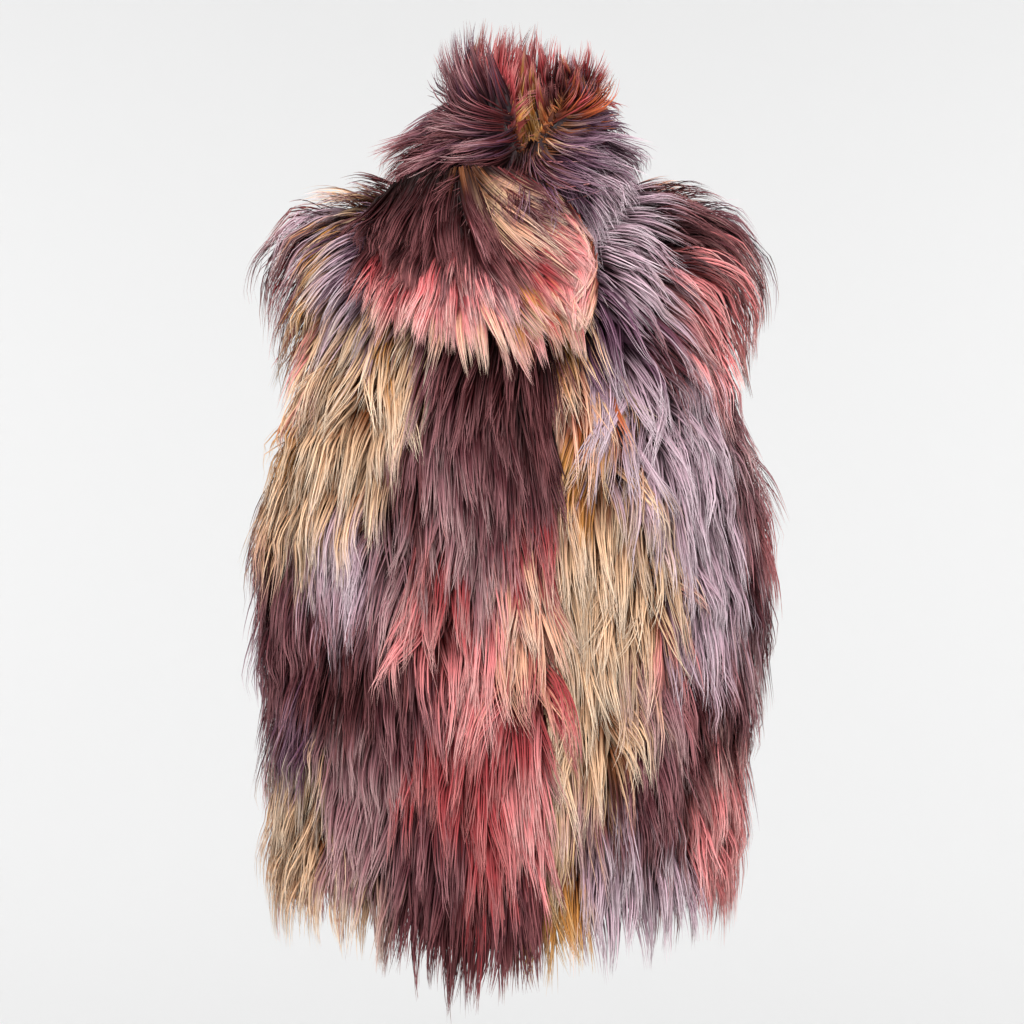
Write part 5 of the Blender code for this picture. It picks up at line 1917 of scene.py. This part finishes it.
class VEST_OT_back(bpy.types.Operator):
    """Add the back: its backing cloth and its pile"""

    bl_idname = "vest.add_back"
    bl_label = "Add back"

    def execute(self, context):
        cut = back_cut()
        bed, flat = body_bed(
            cut, True, True, BACK_PATCHES, (), the_dyes(), context.scene.vest_pile.body_length,
            anchor_column=cut.points.shape[1] // 2,
        )
        pile = both_layers(
            "back", bed, flat, strands=36000, seed=3, points=7, width=0.0018, lock_spacing=0.016
        )
        dressed("back", cut, pile)
        return {"FINISHED"}


class VEST_OT_front_right(bpy.types.Operator):
    """Add the wearer's right front, which laps over the left"""

    bl_idname = "vest.add_front_right"
    bl_label = "Add right front"

    def execute(self, context):
        cut = front_right_cut()
        bed, flat = body_bed(
            cut, True, False, RIGHT_FRONT_PATCHES, FRONT_CURLS, the_dyes(),
            context.scene.vest_pile.body_length, anchor_column=cut.points.shape[1] - 1,
            lap_lift=0.008,
        )
        pile = both_layers("front_right", bed, flat, strands=84000, seed=1)
        dressed("front_right", cut, pile)
        return {"FINISHED"}


class VEST_OT_front_left(bpy.types.Operator):
    """Add the wearer's left front, whose edge lies under the right"""

    bl_idname = "vest.add_front_left"
    bl_label = "Add left front"

    def execute(self, context):
        cut = front_left_cut()
        bed, flat = body_bed(
            cut, False, True, LEFT_FRONT_PATCHES, FRONT_CURLS, the_dyes(),
            context.scene.vest_pile.body_length, anchor_column=0, hidden=slice(0, 1),
        )
        pile = both_layers("front_left", bed, flat, strands=92000, seed=2)
        dressed("front_left", cut, pile)
        return {"FINISHED"}


class VEST_OT_collar(bpy.types.Operator):
    """Add the standing collar's outer and inner furs"""

    bl_idname = "vest.add_collar"
    bl_label = "Add collar"

    def execute(self, context):
        dyes = the_dyes()
        length = context.scene.vest_pile.collar_length
        outer = collar_outer_cut()
        bed, flat = collar_bed(outer, False, COLLAR_PATCHES, dyes, length)
        pile = both_layers(
            "collar_outer", bed, flat, strands=210000, seed=5, strips=256, lift=0.8, highest=1.30,
            clumping=0.66, spread=0.5, lock_spacing=0.0085, own_wave=0.06, wave=0.03, strays=0.12,
            width=0.0011,
        )
        dressed("collar_outer", outer, pile)
        inner = collar_inner_cut()
        bed, flat = collar_bed(inner, True, INSIDE_PATCHES, dyes, length * 0.72)
        pile = both_layers("collar_inner", bed, flat, strands=90000, seed=6, strips=256)
        dressed("collar_inner", inner, pile)
        return {"FINISHED"}


class VEST_OT_tab(bpy.types.Operator):
    """Add the tab that wraps over the throat"""

    bl_idname = "vest.add_tab"
    bl_label = "Add throat tab"

    def execute(self, context):
        right, left, collar = front_right_cut(), front_left_cut(), collar_outer_cut()
        layers = [piece.points + piece.rise for piece in (right, left, collar)]
        cut = tab_cut(layers)
        bed, flat = tab_bed(layers, the_dyes(), context.scene.vest_pile.tab_length)
        pile = both_layers(
            "neck_tab", bed, flat, strands=300000, seed=7, strips=256, clumping=0.72,
            lock_spacing=0.0095, wave=0.010, own_wave=0.02, highest=1.05,
        )
        dressed("neck_tab", cut, pile)
        return {"FINISHED"}


# The studio, in metres and watts. One pixel of the photograph is 0.85 mm on the vest
FLOOR_HALF_WIDTH = 8.0
FLOOR_DEPTH = 7.0
FLOOR_LEVEL = -1.60
BACKDROP_HEIGHT = 7.0
BACKDROP_BEND = 0.6
BACKDROP_STEPS = 12
PAPER_COLOUR = "#eeeeee"
AIR_COLOUR = "#f2f2f2"
AIR_STRENGTH = 0.40
VEST_MIDDLE = (0.0, 0.0, -0.30)
Lamp = namedtuple("Lamp", "name place aim power size")
LAMPS = (
    Lamp("key_light", (-0.8, -3.0, 1.7), VEST_MIDDLE, 112.0, 1.3),
    Lamp("fill_light", (1.7, -2.9, 0.1), VEST_MIDDLE, 34.0, 1.8),
    Lamp("top_light", (0.2, -0.3, 2.0), VEST_MIDDLE, 26.0, 1.2),
    Lamp("backdrop_light_-1", (-2.5, 4.4, 0.2), (0.5, 7.0, -0.3), 39.0, 1.8),
    Lamp("backdrop_light_+1", (2.5, 4.4, 0.2), (-0.5, 7.0, -0.3), 39.0, 1.8),
)
PHOTO_PIXELS = 1024
PIXEL_SIZE = 0.00085
LENS = 200.0
SENSOR_WIDTH = 36.0
CAMERA_ACROSS = -0.0026
CAMERA_HEIGHT = -0.2822
FRONT_OF_PILE = -0.04


def sweep_mesh(name):
    """A floor that curves up into a backdrop behind."""
    bend, level, behind = BACKDROP_BEND, FLOOR_LEVEL, FLOOR_DEPTH - BACKDROP_BEND
    profile = [(-FLOOR_DEPTH, level), (behind, level)]
    for step in range(1, BACKDROP_STEPS + 1):
        turn = math.radians(90 * step / BACKDROP_STEPS)
        profile.append((behind + bend * math.sin(turn), level + bend - bend * math.cos(turn)))
    profile.append((FLOOR_DEPTH, level + BACKDROP_HEIGHT))
    points = [(side * FLOOR_HALF_WIDTH, y, z) for y, z in profile for side in (-1, 1)]
    faces = [(2 * i, 2 * i + 1, 2 * i + 3, 2 * i + 2) for i in range(len(profile) - 1)]
    mesh = bpy.data.meshes.new(name)
    mesh.from_pydata(points, [], faces)
    mesh.shade_smooth()
    return mesh


def area_light(lamp):
    """A soft square light that faces its aim."""
    data = bpy.data.lights.new(lamp.name, "AREA")
    data.energy = lamp.power
    data.size = lamp.size
    light = bpy.data.objects.new(lamp.name, data)
    light.location = lamp.place
    way = Vector(lamp.aim) - Vector(lamp.place)
    light.rotation_euler = way.to_track_quat("-Z", "Y").to_euler()
    bpy.context.scene.collection.objects.link(light)


class VEST_OT_studio(bpy.types.Operator):
    """Add the floor, the soft studio light and the camera at the photograph's angle"""

    bl_idname = "vest.add_studio"
    bl_label = "Add studio"

    def execute(self, context):
        scene = context.scene
        floor = bpy.data.objects.new("studio_floor", sweep_mesh("studio_floor"))
        paper = bpy.data.materials.new("matt_backdrop_paper")
        paper.use_nodes = True
        shader = paper.node_tree.nodes["Principled BSDF"]
        shader.inputs["Base Color"].default_value = (*hex_colour(PAPER_COLOUR), 1.0)
        shader.inputs["Roughness"].default_value = 0.95
        floor.data.materials.append(paper)
        scene.collection.objects.link(floor)
        world = scene.world or bpy.data.worlds.new("studio_air")
        scene.world = world
        world.use_nodes = True
        air = world.node_tree.nodes["Background"]
        air.inputs["Color"].default_value = (*hex_colour(AIR_COLOUR), 1.0)
        air.inputs["Strength"].default_value = AIR_STRENGTH
        for lamp in LAMPS:
            area_light(lamp)
        camera = bpy.data.cameras.new("camera")
        camera.lens = LENS
        camera.sensor_width = SENSOR_WIDTH
        camera.clip_end = 50.0
        distance = PHOTO_PIXELS * PIXEL_SIZE * LENS / SENSOR_WIDTH
        holder = bpy.data.objects.new("camera", camera)
        holder.location = (CAMERA_ACROSS, FRONT_OF_PILE - distance, CAMERA_HEIGHT)
        holder.rotation_euler = (math.radians(90), 0.0, 0.0)
        scene.collection.objects.link(holder)
        scene.camera = holder
        scene.view_settings.view_transform = "Standard"
        return {"FINISHED"}


STEPS = (
    VEST_OT_back,
    VEST_OT_front_right,
    VEST_OT_front_left,
    VEST_OT_collar,
    VEST_OT_tab,
    VEST_OT_studio,
)


class VEST_PT_panel(bpy.types.Panel):
    """The vest's sizes, dyes and steps"""

    bl_idname = "VEST_PT_panel"
    bl_label = "Faux fur vest"
    bl_space_type = "VIEW_3D"
    bl_region_type = "UI"
    bl_category = "Vest"

    def draw(self, context):
        column = self.layout.column()
        for group in (context.scene.vest_pile, context.scene.vest_dyes):
            for name in group.__annotations__:
                column.prop(group, name)
        for step in STEPS:
            column.operator(step.bl_idname)


CLASSES = (VestPile, VestDyes) + STEPS + (VEST_PT_panel,)


def register():
    for kind in CLASSES:
        bpy.utils.register_class(kind)
    bpy.types.Scene.vest_pile = PointerProperty(type=VestPile)
    bpy.types.Scene.vest_dyes = PointerProperty(type=VestDyes)


def unregister():
    del bpy.types.Scene.vest_dyes
    del bpy.types.Scene.vest_pile
    for kind in reversed(CLASSES):
        bpy.utils.unregister_class(kind)


def main():
    register()
    bpy.ops.vest.add_back()
    bpy.ops.vest.add_front_right()
    bpy.ops.vest.add_front_left()
    bpy.ops.vest.add_collar()
    bpy.ops.vest.add_tab()
    bpy.ops.vest.add_studio()


if __name__ == "__main__":
    main()
